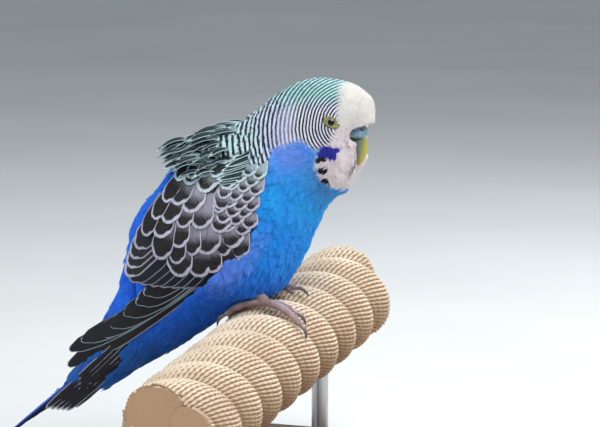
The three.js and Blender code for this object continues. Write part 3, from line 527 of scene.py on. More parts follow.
def spline(points, at):
    """A centripetal spline through points, at shares of its list."""
    points = np.asarray(points, float)
    spread = np.vstack([2 * points[0] - points[1], points, 2 * points[-1] - points[-2]])
    place = np.clip(np.asarray(at, float), 0, 1) * (len(points) - 1)
    first = np.minimum(place.astype(int), len(points) - 2)
    share = (place - first)[..., None]
    p0, p1, p2, p3 = (spread[first + k] for k in range(4))
    d0, d1, d2 = (np.maximum(np.sum((b - a) ** 2, -1, keepdims=True) ** 0.25, 1e-4)
                  for a, b in ((p0, p1), (p1, p2), (p2, p3)))
    m1 = ((p1 - p0) / d0 - (p2 - p0) / (d0 + d1) + (p2 - p1) / d1) * d1
    m2 = ((p2 - p1) / d1 - (p3 - p1) / (d1 + d2) + (p3 - p2) / d2) * d1
    bent = (-3 * p1 + 3 * p2 - 2 * m1 - m2) * share ** 2
    return p1 + m1 * share + bent + (2 * p1 - 2 * p2 + m1 + m2) * share ** 3


def loft_lines(sections, at):
    """The upper line, the lower line and half the width of a row of sections, at shares of the row."""
    upper = spline([(x, 0, z) for (x, z), _, _ in sections], at)
    lower = spline([(x, 0, z) for _, (x, z), _ in sections], at)
    half = spline([(number, half) for number, (_, _, half) in enumerate(sections)], at)[..., 1:]
    return upper, lower, half


# hollows that hold the cere and the bill: place, size, and how far they are bare of feathers
SOCKETS = [((33.2, 0, 77.5), (3.6, 9.0, 3.3), (5.5, 2.7)), ((32.6, 0, 71.5), (3.6, 3.1, 5.6), (3.1, 5.6))]
SOCKETS_FROM = 20
# where feathers stand out further: place, spread and push
PUFFS = [((31, 4.6, 69.5), (6.0, 2.4, 4.6), (2.6, 0, 0)), ((36, 0, 80.2), (3.0, 5.0, 2.3), (1.0, 0, -0.3)),
         ((-47, 0, 46), (9.0, 15.0, 15.0), (-3.2, 0, 1.6))]


def puffed(points):
    """Feathers stand forward beside the bill and off the back, and hollows hold the cere and the bill."""
    mirrored = on_left(points)
    moved = points.copy()
    for place, spread, push in PUFFS:
        share = np.exp(-np.sum(((mirrored - place) / spread) ** 2, -1))
        moved = moved + share[..., None] * np.array(push)
    ahead, y, z = moved[..., 0], mirrored[..., 1], moved[..., 2]
    for (middle, _, level), (deep, wide, high), _ in SOCKETS:
        inside = 1 - (y / wide) ** 2 - np.abs((z - level) / high) ** 3
        floor_x = middle - deep * np.sqrt(np.clip(inside, 0, 1))
        ahead = np.where((inside > 0) & (ahead > floor_x) & (ahead > SOCKETS_FROM), floor_x, ahead)
    return np.stack([ahead, moved[..., 1], z], -1)


def body_place(t, phi, grow=0.0):
    """The body's outline: t from the forehead to the tail, phi round it from the back over the left side."""
    back, belly, half = loft_lines(BODY, t)
    up = back - belly
    height = np.linalg.norm(up, axis=-1, keepdims=True)
    c, s = (np.sign(part) * np.abs(part) ** (2 / BODY_ROUNDNESS)
            for part in (np.cos(phi)[..., None], np.sin(phi)[..., None]))
    grow = np.asarray(grow)[..., None]
    half = np.maximum(half + grow, THINNEST)
    tall = up / height * np.maximum(height / 2 + grow, THINNEST)
    return puffed((back + belly) / 2 + tall * c + np.array([0, 1.0, 0]) * half * s)


def sunk_below_wings(points):
    """Pushes places that lie in a wing's bed down to its floor."""
    p, q, h = wing_chart(points)
    over = np.maximum(h - between(WING_BED, p), 0) * ease(inside_wing(p, q), *WING_BED_SLOPE)
    outward = np.tile(wing_out, (len(points), 1))
    outward[points[:, 1] > 0, 1] *= -1
    return points - outward * over[:, None]


def patch_uv(mesh, shares):
    """A UV map named OFBake from one pair of shares for each point."""
    corner = np.zeros(len(mesh.loops), np.int32)
    mesh.loops.foreach_get("vertex_index", corner)
    layer = mesh.uv_layers.new(name="OFBake")
    layer.data.foreach_set("uv", np.ascontiguousarray(np.clip(shares, 0, 1)[corner], np.float32).ravel())


def skin_share(t, phi):
    """The place of a piece of skin on its UV map."""
    return np.stack([0.02 + 0.96 * t, 0.02 + 0.96 * phi / (2 * math.pi)], 1)


ring_t = np.linspace(0, 1, SKIN_RINGS)
side_phi = np.linspace(0, 2 * math.pi, SKIN_SIDES, endpoint=False)
grid_t, grid_phi = (g.ravel() for g in np.meshgrid(ring_t, side_phi, indexing="ij"))
skin_points = sunk_below_wings(body_place(grid_t, grid_phi, -between(SKIN_DEPTH, grid_t)))

# Colours of the coat. Each is a function of the place on the bird, so that skin and feathers carry
# the same markings: a white face and cap, dark bars round the face that widen down the neck to the
# back, and blue below them.
FACE_CENTRE = (31.0, 81.0)
BAR_PERIOD = [(0, 0.95), (9, 1.05), (14, 1.2), (22, 1.6), (34, 2.3), (46, 2.9), (60, 3.0)]
BAR_REACH = 120
BAR_STEP = 0.2
MASK_EDGE = [(56, 30.5), (59, 27.0), (61, 23.6), (64, 22.2), (67.7, 21.6), (71, 22.6), (73.5, 25.4),
             (76, 27.8), (79, 28.8), (83, 29.3), (88, 29.6), (92, 28.6), (97, 27)]
BAR_LIMIT = [(-75, 40), (-45, 56), (-36, 63), (-20, 60), (-8, 59), (4.5, 61), (7, 72.5), (16.6, 76.2),
             (18.4, 75), (23, 72.6), (27, 74), (31, 77)]


def colour(code):
    """A colour written as red, green and blue in hexadecimal, as linear light."""
    parts = np.array([int(code[i:i + 2], 16) for i in (1, 3, 5)]) / 255
    return np.where(parts <= 0.04045, parts / 12.92, ((parts + 0.055) / 1.055) ** 2.4)


CAP_WHITE = colour("#E2DED8")
MASK_WHITE = colour("#E6DADD")
CHEEK_WHITE = colour("#E4E5F8")
CROWN_MINT = colour("#A9E2E4")
NAPE_MINT = colour("#BFE2E4")
NECK_LAVENDER = colour("#8FA9F2")
AZURE = colour("#0282EC")
LIGHT_AZURE = colour("#20A4F6")
LAVENDER = colour("#6A86F0")
COBALT = colour("#0062D6")
VENT_BLUE = colour("#0A4E96")
RUMP_BLUE = colour("#0765F2")
STEEL_BLUE = colour("#4F78A8")
INK_BLACK = colour("#0B0B12")
INK_TEAL = colour("#08262E")
INK_NAVY = colour("#22306E")
PATCH_VIOLET = colour("#23259A")
SPOT_BLACK = colour("#0A0A0E")
# cheek patch and throat spots, the same on both sides: place, half sizes, tilt and colour
SPOTS = [((26.1, 72.0), (3.6, 2.0), 20, PATCH_VIOLET), ((24.4, 70.6), (1.3, 1.0), 0, PATCH_VIOLET),
         ((27.6, 70.5), (0.9, 1.3), 0, PATCH_VIOLET), ((24.0, 69.5), (1.1, 0.8), 0, SPOT_BLACK),
         ((24.2, 65.7), (1.4, 1.4), 0, SPOT_BLACK), ((24.3, 62.2), (1.45, 1.15), 0, SPOT_BLACK)]


def blend(low, high, share):
    """Goes from one colour to another by a share for each place."""
    return low + (high - low) * np.asarray(share)[:, None]


def face_distance(points):
    """How far back from the face a place is. The lines of one distance stand nearly upright above it."""
    above = points[:, 2] - FACE_CENTRE[1] - 15 * ease(-points[:, 0], -14, 14)
    above = np.where(above > 0, np.minimum(above * (0.5 + 0.025 * above), above), above)
    return np.hypot(points[:, 0] - FACE_CENTRE[0], above)


def blue_coat(x, z, side):
    """The blue of breast, belly, rump and vent, and the paler patches before the wing and on the neck."""
    blue = blend(COBALT, AZURE, ease(z + 0.35 * x, 20, 42))
    blue = blend(blue, LIGHT_AZURE, 0.5 * ease(z + 0.6 * x, 44, 62) * ease(x, -8, 6))
    blue = blend(blue, VENT_BLUE, ease(-z, -24, 2) * ease(-x, -4, 22) * 0.75)
    blue = blend(blue, RUMP_BLUE, ease(-x - 0.35 * z, -2, 22) * ease(z, -6, 16))
    wing_front = np.exp(-((x + 2 + 0.9 * (36 - z)) / 7) ** 2)
    wing_front = wing_front * ease(side, 14, 20) * ease(-np.abs(z - 34), -16, -4)
    neck_side = np.exp(-(((x - 13) / 9) ** 2 + ((z - 71) / 6.5) ** 2)) * ease(side, 5, 11)
    blue = blend(blue, LAVENDER, np.clip(0.55 * wing_front + 0.85 * neck_side, 0, 1))
    return blend(blue, STEEL_BLUE, 0.55 * np.exp(-(((x - 22) / 4.5) ** 2 + ((z - 60) / 7) ** 2)))


def markings(points):
    """Ground colour, ink colour and how dark the bars are, at places in millimetres."""
    x, y, z = points.T
    side = np.abs(y)
    from_face = face_distance(points)
    crown = ease(z - 0.3 * side - 0.15 * np.abs(x - 12), 79, 88)
    nape = ease(-x, -13, -5)

    ground = blend(CHEEK_WHITE, CROWN_MINT, crown)
    ground = blend(ground, NECK_LAVENDER, 0.8 * ease(from_face, 17, 27) * (1 - crown) * (1 - 0.7 * nape))
    ground = blend(ground, NAPE_MINT, nape * ease(from_face, 26, 40) * 0.85)
    barred = ease(z - between(BAR_LIMIT, x), -1.2, 1.2)
    mask = ease((x - between(MASK_EDGE, z)) / (1 + 1.2 * ease(z, 86, 94)), -0.9, 1.1)
    white = blend(MASK_WHITE, CAP_WHITE, ease(z, 76, 84))
    colours = blend(blend(blue_coat(x, z, side), ground, barred), white, mask)
    for (spot_x, spot_z), (long, high), tilt, paint in SPOTS:
        c, s = math.cos(math.radians(tilt)), math.sin(math.radians(tilt))
        ahead, above = (x - spot_x) * c + (z - spot_z) * s, (z - spot_z) * c - (x - spot_x) * s
        inside = ease(-np.hypot(ahead / long, above / high), -1.12, -0.9)
        colours = blend(colours, paint, inside)
        mask = np.maximum(mask, inside)

    pale_bars = ease(from_face, 14, 22) * (1 - crown) * (1 - nape)
    ink = blend(blend(INK_BLACK, INK_TEAL, np.maximum(crown, nape)), INK_NAVY, pale_bars)
    depth = barred * (1 - mask) * (1 - 0.45 * pale_bars) * (1 - 0.12 * crown * (1 - nape))
    return colours, ink, depth


def bar_count(points):
    """How many bars lie between the face and each place."""
    radii = np.linspace(0, BAR_REACH, round(BAR_REACH / BAR_STEP) + 1)
    count = np.cumsum(BAR_STEP / between(BAR_PERIOD, radii))
    return np.interp(face_distance(points), radii, count)


def mark(mesh, points, anchors, along, luck):
    """Writes a coat's markings as attributes for its finish. A tuft takes its colour at its anchor."""
    colours, ink, depth = markings(anchors)
    loose_bars = 0.35 * ease(face_distance(points), 22, 40)
    bars = bar_count(points) + (luck - 0.5) * loose_bars
    for name, tones in (("ground", colours), ("ink", ink)):
        write(mesh, name, np.c_[tones, np.ones(len(points))], "FLOAT_COLOR")
    for name, values in (("bar_depth", depth), ("bar_count", bars), ("along", along), ("luck", luck)):
        write(mesh, name, np.broadcast_to(values, len(points)))


# ground and bars from the markings, with painted shade darker at the roots, and every tuft a little lighter
# or darker
feather = Finish("plume", Roughness=0.78, Specular_IOR_Level=0.22, Sheen_Weight=0.12, Sheen_Roughness=0.5,
                 Subsurface_Weight=0.35, Subsurface_Scale=0.0012, Subsurface_Radius=(1, 0.9, 0.85))
bar_phase = feather.swing(feather.noise(520, 2), 0.35, feather.read("bar_count"))
bar_wave = feather.sum("SINE", feather.sum("MULTIPLY", bar_phase, 2 * math.pi))
bar_dark = feather.rise(feather.level(bar_wave, 0.5, 0.5), 0.40, 0.60)
mottle = feather.ramp(feather.noise(150, 3), (0.35, BLACK), (0.75, (0.30, 0.30, 0.30)))
plume_tone = feather.mix(mottle, feather.read("ground", "Color"), (0.85, 0.95, 1.0), "SOFT_LIGHT")
plume_tone = feather.mix(feather.sum("MULTIPLY", bar_dark, feather.read("bar_depth")), plume_tone,
                         feather.read("ink", "Color"))
root_shade = feather.ramp(feather.read("along"), (0.0, (0.86, 0.86, 0.88)), (0.5, (0.97, 0.97, 0.98)),
                          (1.0, WHITE))
plume_tone = feather.mix(1.0, plume_tone, root_shade, "MULTIPLY")
plume_chance = feather.ramp(feather.read("luck"), (0.0, (0.90, 0.90, 0.91)), (1.0, WHITE))
plume_finish = feather.wear(colour=feather.mix(1.0, plume_tone, plume_chance, "MULTIPLY"),
                            bump=feather.bump(feather.noise(2600, 2), 0.0002, 0.4))

skin = make_piece("skin", skin_points, turned_over(tube_faces(SKIN_RINGS, SKIN_SIDES)), plume_finish)
# the skin takes the painted root shade that a tuft has a third of the way along
mark(skin.data, skin_points, skin_points, along=0.35, luck=0.5)
patch_uv(skin.data, skin_share(grid_t, grid_phi))
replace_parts(skin, "head", "neck", "torso", "thigh_right", "thigh_left", "tail_coverts_upper",
            "tail_coverts_under")


# Coat: small feathers as tufts of flat barbs, rooted in the skin and lying backwards from the bill.
# They are sown at random with a spacing that grows from the face to the belly, and geometry nodes
# set a tuft on each root, turned along the lie.
COAT_SEED = 11
# how far from the forehead (t), spacing, length, width as a share of length, lift in degrees
COAT_SIZES = [(0.0, 0.36, 1.9, 0.64, 1), (0.12, 0.38, 2.1, 0.62, 2), (0.22, 0.56, 2.7, 0.54, 6),
              (0.32, 0.76, 3.8, 0.46, 8), (0.45, 0.88, 5.2, 0.46, 9), (0.62, 0.95, 6.2, 0.46, 10),
              (0.8, 1.05, 7.2, 0.44, 8), (0.88, 1.1, 6.8, 0.4, 4), (1.0, 1.2, 6.4, 0.38, 1)]
CANDIDATES = 160000
CHART_STEP = 0.002
TUFT_KINDS = 3
TUFT_LOCKS = 4
TUFT_RINGS = (0, 0.35, 0.75, 1)
TUFT_WIDTH = 0.95
TUFT_PATCH = 0.003
BILL_PLACE = (33.5, 0, 78)
HEAD_MIDDLE = (24, 0, 80)
EYE_PLACE = np.array([26.9, 12.5, 82.1])
EYE_BARE = (2.7, 1.9)
EYE_SLANT = math.radians(-32)
EYE_CORNER = (2.2, -0.9, -1.3)
EYE_CORNER_BARE = 1.25
SOCKET_BARE = 1.15
SOCKET_BARE_FROM = 24


def coat_size(t, column):
    """One of the coat's sizes at a place between the forehead and the tail."""
    return between([(row[0], row[column]) for row in COAT_SIZES], t)


def spread_apart(places, gaps, allowed):
    """Keeps those places that stay their own gap away from all that were kept before them."""
    keys = np.floor(places / float(np.max(gaps))).astype(int)
    kept, grid = [], {}
    around = [(i, j, k) for i in (-1, 0, 1) for j in (-1, 0, 1) for k in (-1, 0, 1)]
    spots, reach = places.tolist(), gaps.tolist()
    for index in np.flatnonzero(allowed).tolist():
        a, b, c = spots[index]
        ki, kj, kk = keys[index].tolist()
        limit = reach[index] ** 2
        near = (spots[other] for i, j, k in around for other in grid.get((ki + i, kj + j, kk + k), ()))
        if all((x - a) ** 2 + (y - b) ** 2 + (z - c) ** 2 >= limit for x, y, z in near):
            kept.append(index)
            grid.setdefault((ki, kj, kk), []).append(index)
    return np.array(kept, int)


def skin_slopes(t, phi, grow=0.0):
    """How a place on the body moves with a small step towards the tail, and with one round it."""
    ahead, behind = np.maximum(t - CHART_STEP, 0), np.minimum(t + CHART_STEP, 1)
    back = body_place(behind, phi, grow) - body_place(ahead, phi, grow)
    return back, body_place(t, phi + CHART_STEP, grow) - body_place(t, phi - CHART_STEP, grow)


def sow(rng, count):
    """Random places on the skin, even in area, as chart coordinates."""
    t = rng.random(count * 3)
    phi = rng.random(count * 3) * 2 * math.pi
    back, turn = skin_slopes(t, phi)
    area = np.linalg.norm(back, axis=1) * np.linalg.norm(turn, axis=1)
    keep = rng.random(count * 3) < area / np.quantile(area, 0.98)
    return t[keep][:count], phi[keep][:count]


def make_tuft(name, rng):
    """A tuft one unit long: flat barbs in a fan along +Y, each a sliver with a ridge."""
    points, faces, leaf = [], [], []
    for lock in range(TUFT_LOCKS):
        across = 2 * (lock + 0.5) / TUFT_LOCKS - 1
        reach = 1 - 0.2 * across ** 2 + rng.uniform(-0.07, 0.07)
        first = len(points)
        for at in TUFT_RINGS:
            wide = TUFT_WIDTH / TUFT_LOCKS * 1.25 * (0.75 + 0.8 * at * (1 - at) * 2)
            middle = across * TUFT_WIDTH / 2 * (0.35 + 0.75 * at ** 0.7)
            low = 0.05 * (1 - abs(across)) * at + 0.16 * at - 0.26 * at ** 2
            ring = [(middle, at * reach, low)]
            if at < 1:
                ridge = low + 0.05 * (1 - 0.5 * at)
                ring = [(middle - wide / 2, at * reach, low), (middle, at * reach, ridge),
                        (middle + wide / 2, at * reach, low)]
            points += ring
            leaf += [(across, at, 0)] * len(ring)
        tip = len(points) - 1
        for a in range(first, tip - 3, 3):
            faces += [(a, a + 3, a + 4, a + 1), (a + 1, a + 4, a + 5, a + 2), (a + 2, a + 5, a + 3, a)]
        a = tip - 3
        faces += [(a, tip, a + 1), (a + 1, tip, a + 2), (a + 2, tip, a), (first, first + 1, first + 2)]
    mesh = bpy.data.meshes.new(name)
    mesh.from_pydata(points, [], faces)
    write(mesh, "leaf", leaf, "FLOAT_VECTOR")
    return bpy.data.objects.new(name, mesh)


coat_tree, coat_in = geometry_tree("feather_coat", [
    ("Tufts", "Collection"), ("Finish", "Material"), ("Fullness", "Float")])
tuft_kinds = put_node(coat_tree, "GeometryNodeCollectionInfo", {
    "Collection": coat_in["Tufts"], "Separate Children": True, "Reset Children": True})
turn_read, size_read, kind_read = (
    put_node(coat_tree, "GeometryNodeInputNamedAttribute", {"Name": name}, data_type=kind).outputs[0]
    for name, kind in (("turn", "FLOAT_VECTOR"), ("size", "FLOAT_VECTOR"), ("kind", "INT")))
turned = put_node(coat_tree, "FunctionNodeEulerToRotation", {0: turn_read})
fuller = put_node(coat_tree, "ShaderNodeVectorMath", {0: size_read, "Scale": coat_in["Fullness"]},
                  operation="SCALE")
set_down = put_node(coat_tree, "GeometryNodeInstanceOnPoints", {
    "Points": coat_in["Geometry"], "Instance": tuft_kinds.outputs[0], "Pick Instance": True,
    "Instance Index": kind_read, "Rotation": turned.outputs[0], "Scale": fuller.outputs[0]})
end_tree(coat_tree, set_down.outputs[0], coat_in["Finish"])


def turns_along(normal, lie, lift, roll):
    """Rotations that lay a tuft's Y along the lie, lifted off the skin, with its Z along the normal."""
    lift, roll = lift[:, None], roll[:, None]
    lie = unit(lie - normal * np.sum(lie * normal, axis=1, keepdims=True), 1e-9)
    right = np.cross(lie, normal)
    lie, right = lie * np.cos(roll) + right * np.sin(roll), right * np.cos(roll) - lie * np.sin(roll)
    raised = lie * np.cos(lift) + normal * np.sin(lift)
    stood = normal * np.cos(lift) - lie * np.sin(lift)
    frames = np.stack([right, raised, stood], 2).tolist()
    return np.array([Matrix(axes).to_euler()[:] for axes in frames])


def grow(name, slot, roots, anchors, turns, sizes, kinds, luck, shares):
    """Sets a tuft on each root and makes them one piece, with its markings and its OFBake map."""
    seeds = bpy.data.meshes.new(name)
    seeds.from_pydata(in_frame(roots).tolist(), [], [])
    write(seeds, "kind", kinds, "INT")
    vectors = {"turn": turns, "size": sizes * MM, "anchor": anchors, "share": np.c_[shares, luck]}
    for key, values in vectors.items():
        write(seeds, key, values, "FLOAT_VECTOR")
    piece = run_tree(name, seeds, coat_tree, {"Tufts": tufts, "Finish": plume_finish, "Fullness": 1.0})
    mesh = piece.data
    read = {}
    for key in ("position", "leaf", "anchor", "share"):
        values = np.zeros(len(mesh.vertices) * 3)
        mesh.attributes[key].data.foreach_get("vector", values)
        read[key] = values.reshape(-1, 3)
    leaf, share = read["leaf"], read["share"]
    mark(mesh, read["position"] / MM - (0, 0, PERCH_HEIGHT), read["anchor"], leaf[:, 1], share[:, 2])
    patch_uv(mesh, share[:, :2] + TUFT_PATCH * (leaf[:, :2] * (0.5, 1) - (0, 0.5)))
    for spent in ("leaf", "kind", *vectors):
        mesh.attributes.remove(mesh.attributes[spent])
    fit_piece(piece)


rng = np.random.default_rng(COAT_SEED)
tufts = bpy.data.collections.new("tufts")
bpy.context.scene.collection.children.link(tufts)
for number in range(TUFT_KINDS):
    tufts.objects.link(make_tuft(f"tuft_{number}", rng))

sown_t, sown_phi = sow(rng, CANDIDATES)
sown_depth = -between(SKIN_DEPTH, sown_t)
sown = body_place(sown_t, sown_phi, sown_depth)
sown_back, sown_turn = skin_slopes(sown_t, sown_phi, sown_depth)
sown_normal = unit(np.cross(sown_turn, sown_back), 1e-9)
sown_p, sown_q, _ = wing_chart(sown)
sown_x, sown_y, sown_z = sown.T
bare = np.zeros(len(sown), bool)
# round the eye, for a tuft's root and for its length
for reach in (0, 1.0, 1.9):
    off = on_left(sown) + reach * unit(sown - BILL_PLACE) * (1, 0, 1) - EYE_PLACE
    long_way = off[:, 0] * math.cos(EYE_SLANT) + off[:, 2] * math.sin(EYE_SLANT)
    short_way = off[:, 2] * math.cos(EYE_SLANT) - off[:, 0] * math.sin(EYE_SLANT)
    bare |= (long_way / EYE_BARE[0]) ** 2 + (short_way / EYE_BARE[1]) ** 2 + (0.25 * off[:, 1]) ** 2 < 1
    bare |= np.linalg.norm((off - EYE_CORNER) * (1, 0.5, 1.0), axis=1) < EYE_CORNER_BARE
# below the cere and the bill, and below the forehead's overhang
for (_, _, level), _, (wide, high) in SOCKETS:
    from_middle = (sown_y / wide) ** 4 + ((sown_z - level) / high) ** 4
    bare |= (from_middle < SOCKET_BARE) & (sown_x > SOCKET_BARE_FROM)
bare |= (sown_t < 0.14) & (sown_normal[:, 2] < -0.45) & (sown_z > 78)
head_out = unit(sown - HEAD_MIDDLE)
bare |= (sown_t < 0.25) & (np.sum(sown_normal * head_out, axis=1) < 0.4)
# below the wing's own feathers
below_wing = inside_wing(sown_p, sown_q) > 2.5
below_wing &= sown_q < between(COVERT_EDGE, sown_p) + 0.4 - ease(sown_p, 12, 20)
bare |= below_wing & (sown_q > between(VANE_EDGE, sown_p) + 2)
# along the flank, where the outer tail feathers lie, and inside the rope
from_flank = np.abs((sown_x + 46.5) * 0.657 - (sown_z - 4.4) * 0.754)
bare |= (from_flank < 3.8) & (sown_x < -46) & (np.abs(sown_y) > 3 - 2.5 * ease(-sown_x, 60, 68))
bare |= np.hypot(sown_x, sown @ rope_up) < ROPE_RADIUS + 0.3

chosen = spread_apart(sown, coat_size(sown_t, 1), ~bare)
t, phi = sown_t[chosen], sown_phi[chosen]
root, normal, back = sown[chosen], sown_normal[chosen], sown_back[chosen]
from_bill = unit(root - BILL_PLACE)
lie = from_bill + (unit(back, 1e-9) - from_bill) * ease(t, 0.12, 0.34)[:, None]
lift = np.radians(coat_size(t, 4) + rng.normal(0, 1, len(t)) * (0.8 + 1.7 * ease(t, 0.16, 0.34)))
roll = rng.normal(0, 0.13, len(t))
length = coat_size(t, 2) * (1 + rng.normal(0, 0.1, len(t)))
size = np.stack([length * coat_size(t, 3), length, length * (0.3 + 0.6 * ease(t, 0.16, 0.34))], 1)
turns = turns_along(normal, lie, lift, roll)
anchors = root + unit(lie) * 0.6 * length[:, None]
kinds = rng.integers(0, TUFT_KINDS, len(t))
luck = rng.random(len(t))

# the barred plumes of the upper back run on over the top of the folded wings
MANTLE_COUNT = 9000
MANTLE_GAP = 1.05
MANTLE_LENGTH = 6.2
MANTLE_LIE = (0.9, 0.43)
MANTLE_STEP = 0.5
sheet_p, sheet_q = rng.uniform(-8, 15, MANTLE_COUNT), rng.uniform(-29, -6, MANTLE_COUNT)
sheet_h = 0.6 + 0.25 * ease(sheet_p, -6, 4) + 0.1 * ease(-sheet_q, 12, 20)
sheet_edge = np.minimum(sheet_q - between(WING_BACK_EDGE, sheet_p) + 1.5,
                        -16.5 - sheet_p - sheet_q - 4.2 * ease(-sheet_p, -4, 4))
sheet_root = wing_place(sheet_p, sheet_q, sheet_h)
sheet_tip = wing_place(sheet_p + MANTLE_LIE[0] * MANTLE_STEP, sheet_q + MANTLE_LIE[1] * MANTLE_STEP, sheet_h)
sheet_side = wing_place(sheet_p, sheet_q + MANTLE_STEP, sheet_h)
on_mantle = spread_apart(sheet_root, np.full(MANTLE_COUNT, MANTLE_GAP), sheet_edge > 0)
mantle_root = sheet_root[on_mantle]
mantle_lie = (sheet_tip - sheet_root)[on_mantle] / MANTLE_STEP
mantle_normal = unit(np.cross(mantle_lie, (sheet_side - sheet_root)[on_mantle]))
count = len(mantle_root)
for side, mirror in (("right", 1), ("left", -1)):
    flip = np.array([1, mirror, 1])
    mantle_long = MANTLE_LENGTH * (1 + rng.normal(0, 0.1, count))
    mantle_size = np.stack([mantle_long * 0.5, mantle_long, mantle_long * 0.9], 1)
    mantle_lift = np.radians(7 + rng.normal(0, 2.5, count))
    mantle_roll = rng.normal(0, 0.14, count)
    mantle_turns = turns_along(mantle_normal * flip, mantle_lie * flip, mantle_lift, mantle_roll)
    mantle_share = np.stack([(sheet_p[on_mantle] + 10) / 130,
                             0.5 + mirror * (sheet_q[on_mantle] + 40) / 100], 1)
    grow(f"coat_mantle_{side}", "nape_feathers", mantle_root * flip, (mantle_root + mantle_lie * 3.6) * flip,
         mantle_turns, mantle_size, rng.integers(0, TUFT_KINDS, count), rng.random(count), mantle_share)
# name, from and to which share of the body, slot
ZONES = [("coat_face", 0.0, 0.13, "head_feathers"), ("coat_head", 0.13, 0.26, "head_feathers"),
         ("coat_neck", 0.26, 0.38, "nape_feathers"), ("coat_breast", 0.38, 0.52, "body_feathers"),
         ("coat_belly", 0.52, 0.68, "body_feathers"), ("coat_rump", 0.68, 1.01, "body_feathers")]
coat = (root, anchors, turns, size, kinds, luck, skin_share(t, phi))
for name, low, high, slot in ZONES:
    here = (t >= low) & (t < high)
    grow(name, slot, *(values[here] for values in coat))


# Wings: folded over the flanks, in tiers that overlap like tiles. Each feather is a thin vane with a
# rounded end, a pale rim and a dark middle, that follows the wing's curved sheet. A pad of down
# lies below them. The left wing mirrors the right one.
VANE_THICKNESS = 0.13
# how wide a vane is along its length, as shares of its half width
VANE_OUTLINES = {
    "covert": [(0, 0.6), (0.3, 0.85), (0.6, 1), (0.85, 0.98), (1, 0.84)],
    "flight": [(0, 0.5), (0.5, 1), (0.88, 0.94), (1, 0.66)],
    "strap": [(0, 1), (0.6, 0.9), (0.85, 0.75), (1, 0.4)],
    "blade": [(0, 0.5), (0.28, 0.8), (0.56, 1), (0.8, 0.98), (0.93, 0.78), (1, 0.42)],
    "tail": [(0, 0.7), (0.45, 1), (0.8, 0.9), (0.95, 0.62), (1, 0.3)]}


def sheet_faces(grid, corners=((0, 0), (1, 0), (1, 1), (0, 1))):
    """Faces of a closed sheet: a grid of points, the same grid below it, and the edge between the two."""
    rows, columns = grid.shape
    top = np.stack([grid[i:rows - 1 + i, j:columns - 1 + j].ravel() for i, j in corners], 1)
    loop = np.concatenate([grid[:-1, 0], grid[-1, :-1], grid[:0:-1, -1], grid[0, :0:-1]])
    after = np.roll(loop, -1)
    edge = np.stack([loop, grid.size + loop, grid.size + after, after], 1)
    return top.tolist() + (top[:, ::-1] + grid.size).tolist() + edge.tolist()


class VaneBed:
    """Many vanes gathered into one mesh, with what the vane finish reads."""

    def __init__(self, rng):
        self.rng = rng
        self.places, self.faces, self.fields, self.patches = [], [], {}, []
        self.total = 0

    def look(self, base, middle, rim, dark_from):
        """A vane's colours: its root's, its middle's and its rim's, and where the dark middle begins."""
        luck = self.rng.random()
        return {"luck": luck, "middle": middle, "base": base, "rim": rim, "dark_from": dark_from}

    def add(self, root, tip, half, heights, outline, look, rows, columns, roll, camber, widths,
            bend=0.0, blunt=0.85, shaft=0.0, place=wing_place):
        """One vane from root to tip in flat coordinates, which place() bends into shape."""
        root, tip = np.array(root, float), np.array(tip, float)
        long = np.linalg.norm(tip - root)
        ahead = (tip - root) / long
        side = np.array([-ahead[1], ahead[0]])
        s = 1 - (1 - np.linspace(0, 1, rows)) ** 1.35
        v = np.linspace(-1, 1, columns)
        s, v = (g.ravel() for g in np.meshgrid(s, v, indexing="ij"))
        count = len(s)
        ragged = self.rng.normal(0, 0.018, count) * long ** 0.5 * (s > 0.9)
        along = s * long - blunt * half * (1 - np.sqrt(1 - 0.93 * v * v)) * s ** 4 + ragged
        across = v * half * between(VANE_OUTLINES[outline], s)
        low, high = heights
        height = low + (high - low) * s ** 0.8 + roll * v * np.minimum(1, 2 * s) - camber * v * v * s
        height = height - 0.25 * ease(s, 0.86, 1.05) + self.rng.normal(0, 0.02)
        flat = root + np.outer(along, ahead) + np.outer(across + bend * 4 * s * (1 - s), side)
        grid = np.arange(count).reshape(rows, columns)
        here = np.stack([along, across], 1)
        edge = np.full(count, 99.0)
        for number, border in enumerate((grid[:, 0], grid[:, -1], grid[-1])):
            line = here[border]
            parts = [line[:-1] + (line[1:] - line[:-1]) * k for k in (0, 0.25, 0.5, 0.75)]
            dense = np.concatenate(parts + [line[-1:]])
            away = np.sqrt(((here[:, None] - dense[None]) ** 2).sum(2)).min(1)
            edge = np.minimum(edge, away / widths[number])
        for under in (0, 1):
            self.places.append(place(flat[:, 0], flat[:, 1], height - under * VANE_THICKNESS))
            own = np.full(count, self.rng.random() * 100)
            barb = np.stack([along - np.abs(across) * 0.9, across, own], 1)
            values = {"along": s, "edge": edge, "across": v - shaft, "barb": barb}
            values.update((key, np.full((count, *np.shape(value)), value)) for key, value in look.items())
            for key, value in values.items():
                self.fields.setdefault(key, []).append(value)
            self.patches.append(np.stack([(v + 1) / 2 * 0.44 + 0.5 * under + 0.03, s * 0.94 + 0.03], 1))
        self.faces += [[self.total + k for k in face] for face in sheet_faces(grid)]
        self.total += 2 * count

    def build(self, name, flip=1):
        """Makes the gathered vanes one piece, on the other side of the bird if flip is -1."""
        faces = turned_over(self.faces) if flip < 0 else self.faces
        piece = make_piece(name, np.concatenate(self.places) * (1, flip, 1), faces, vane_finish)
        for key, values in self.fields.items():
            values = np.concatenate(values)
            write(piece.data, key, values, "FLOAT" if values.ndim == 1 else "FLOAT_VECTOR")
        cells = math.ceil(math.sqrt(len(self.patches) / 2))
        patch_uv(piece.data, np.concatenate([
            (patch + (number // 2 % cells, number // 2 // cells)) / cells
            for number, patch in enumerate(self.patches)]))
        return piece


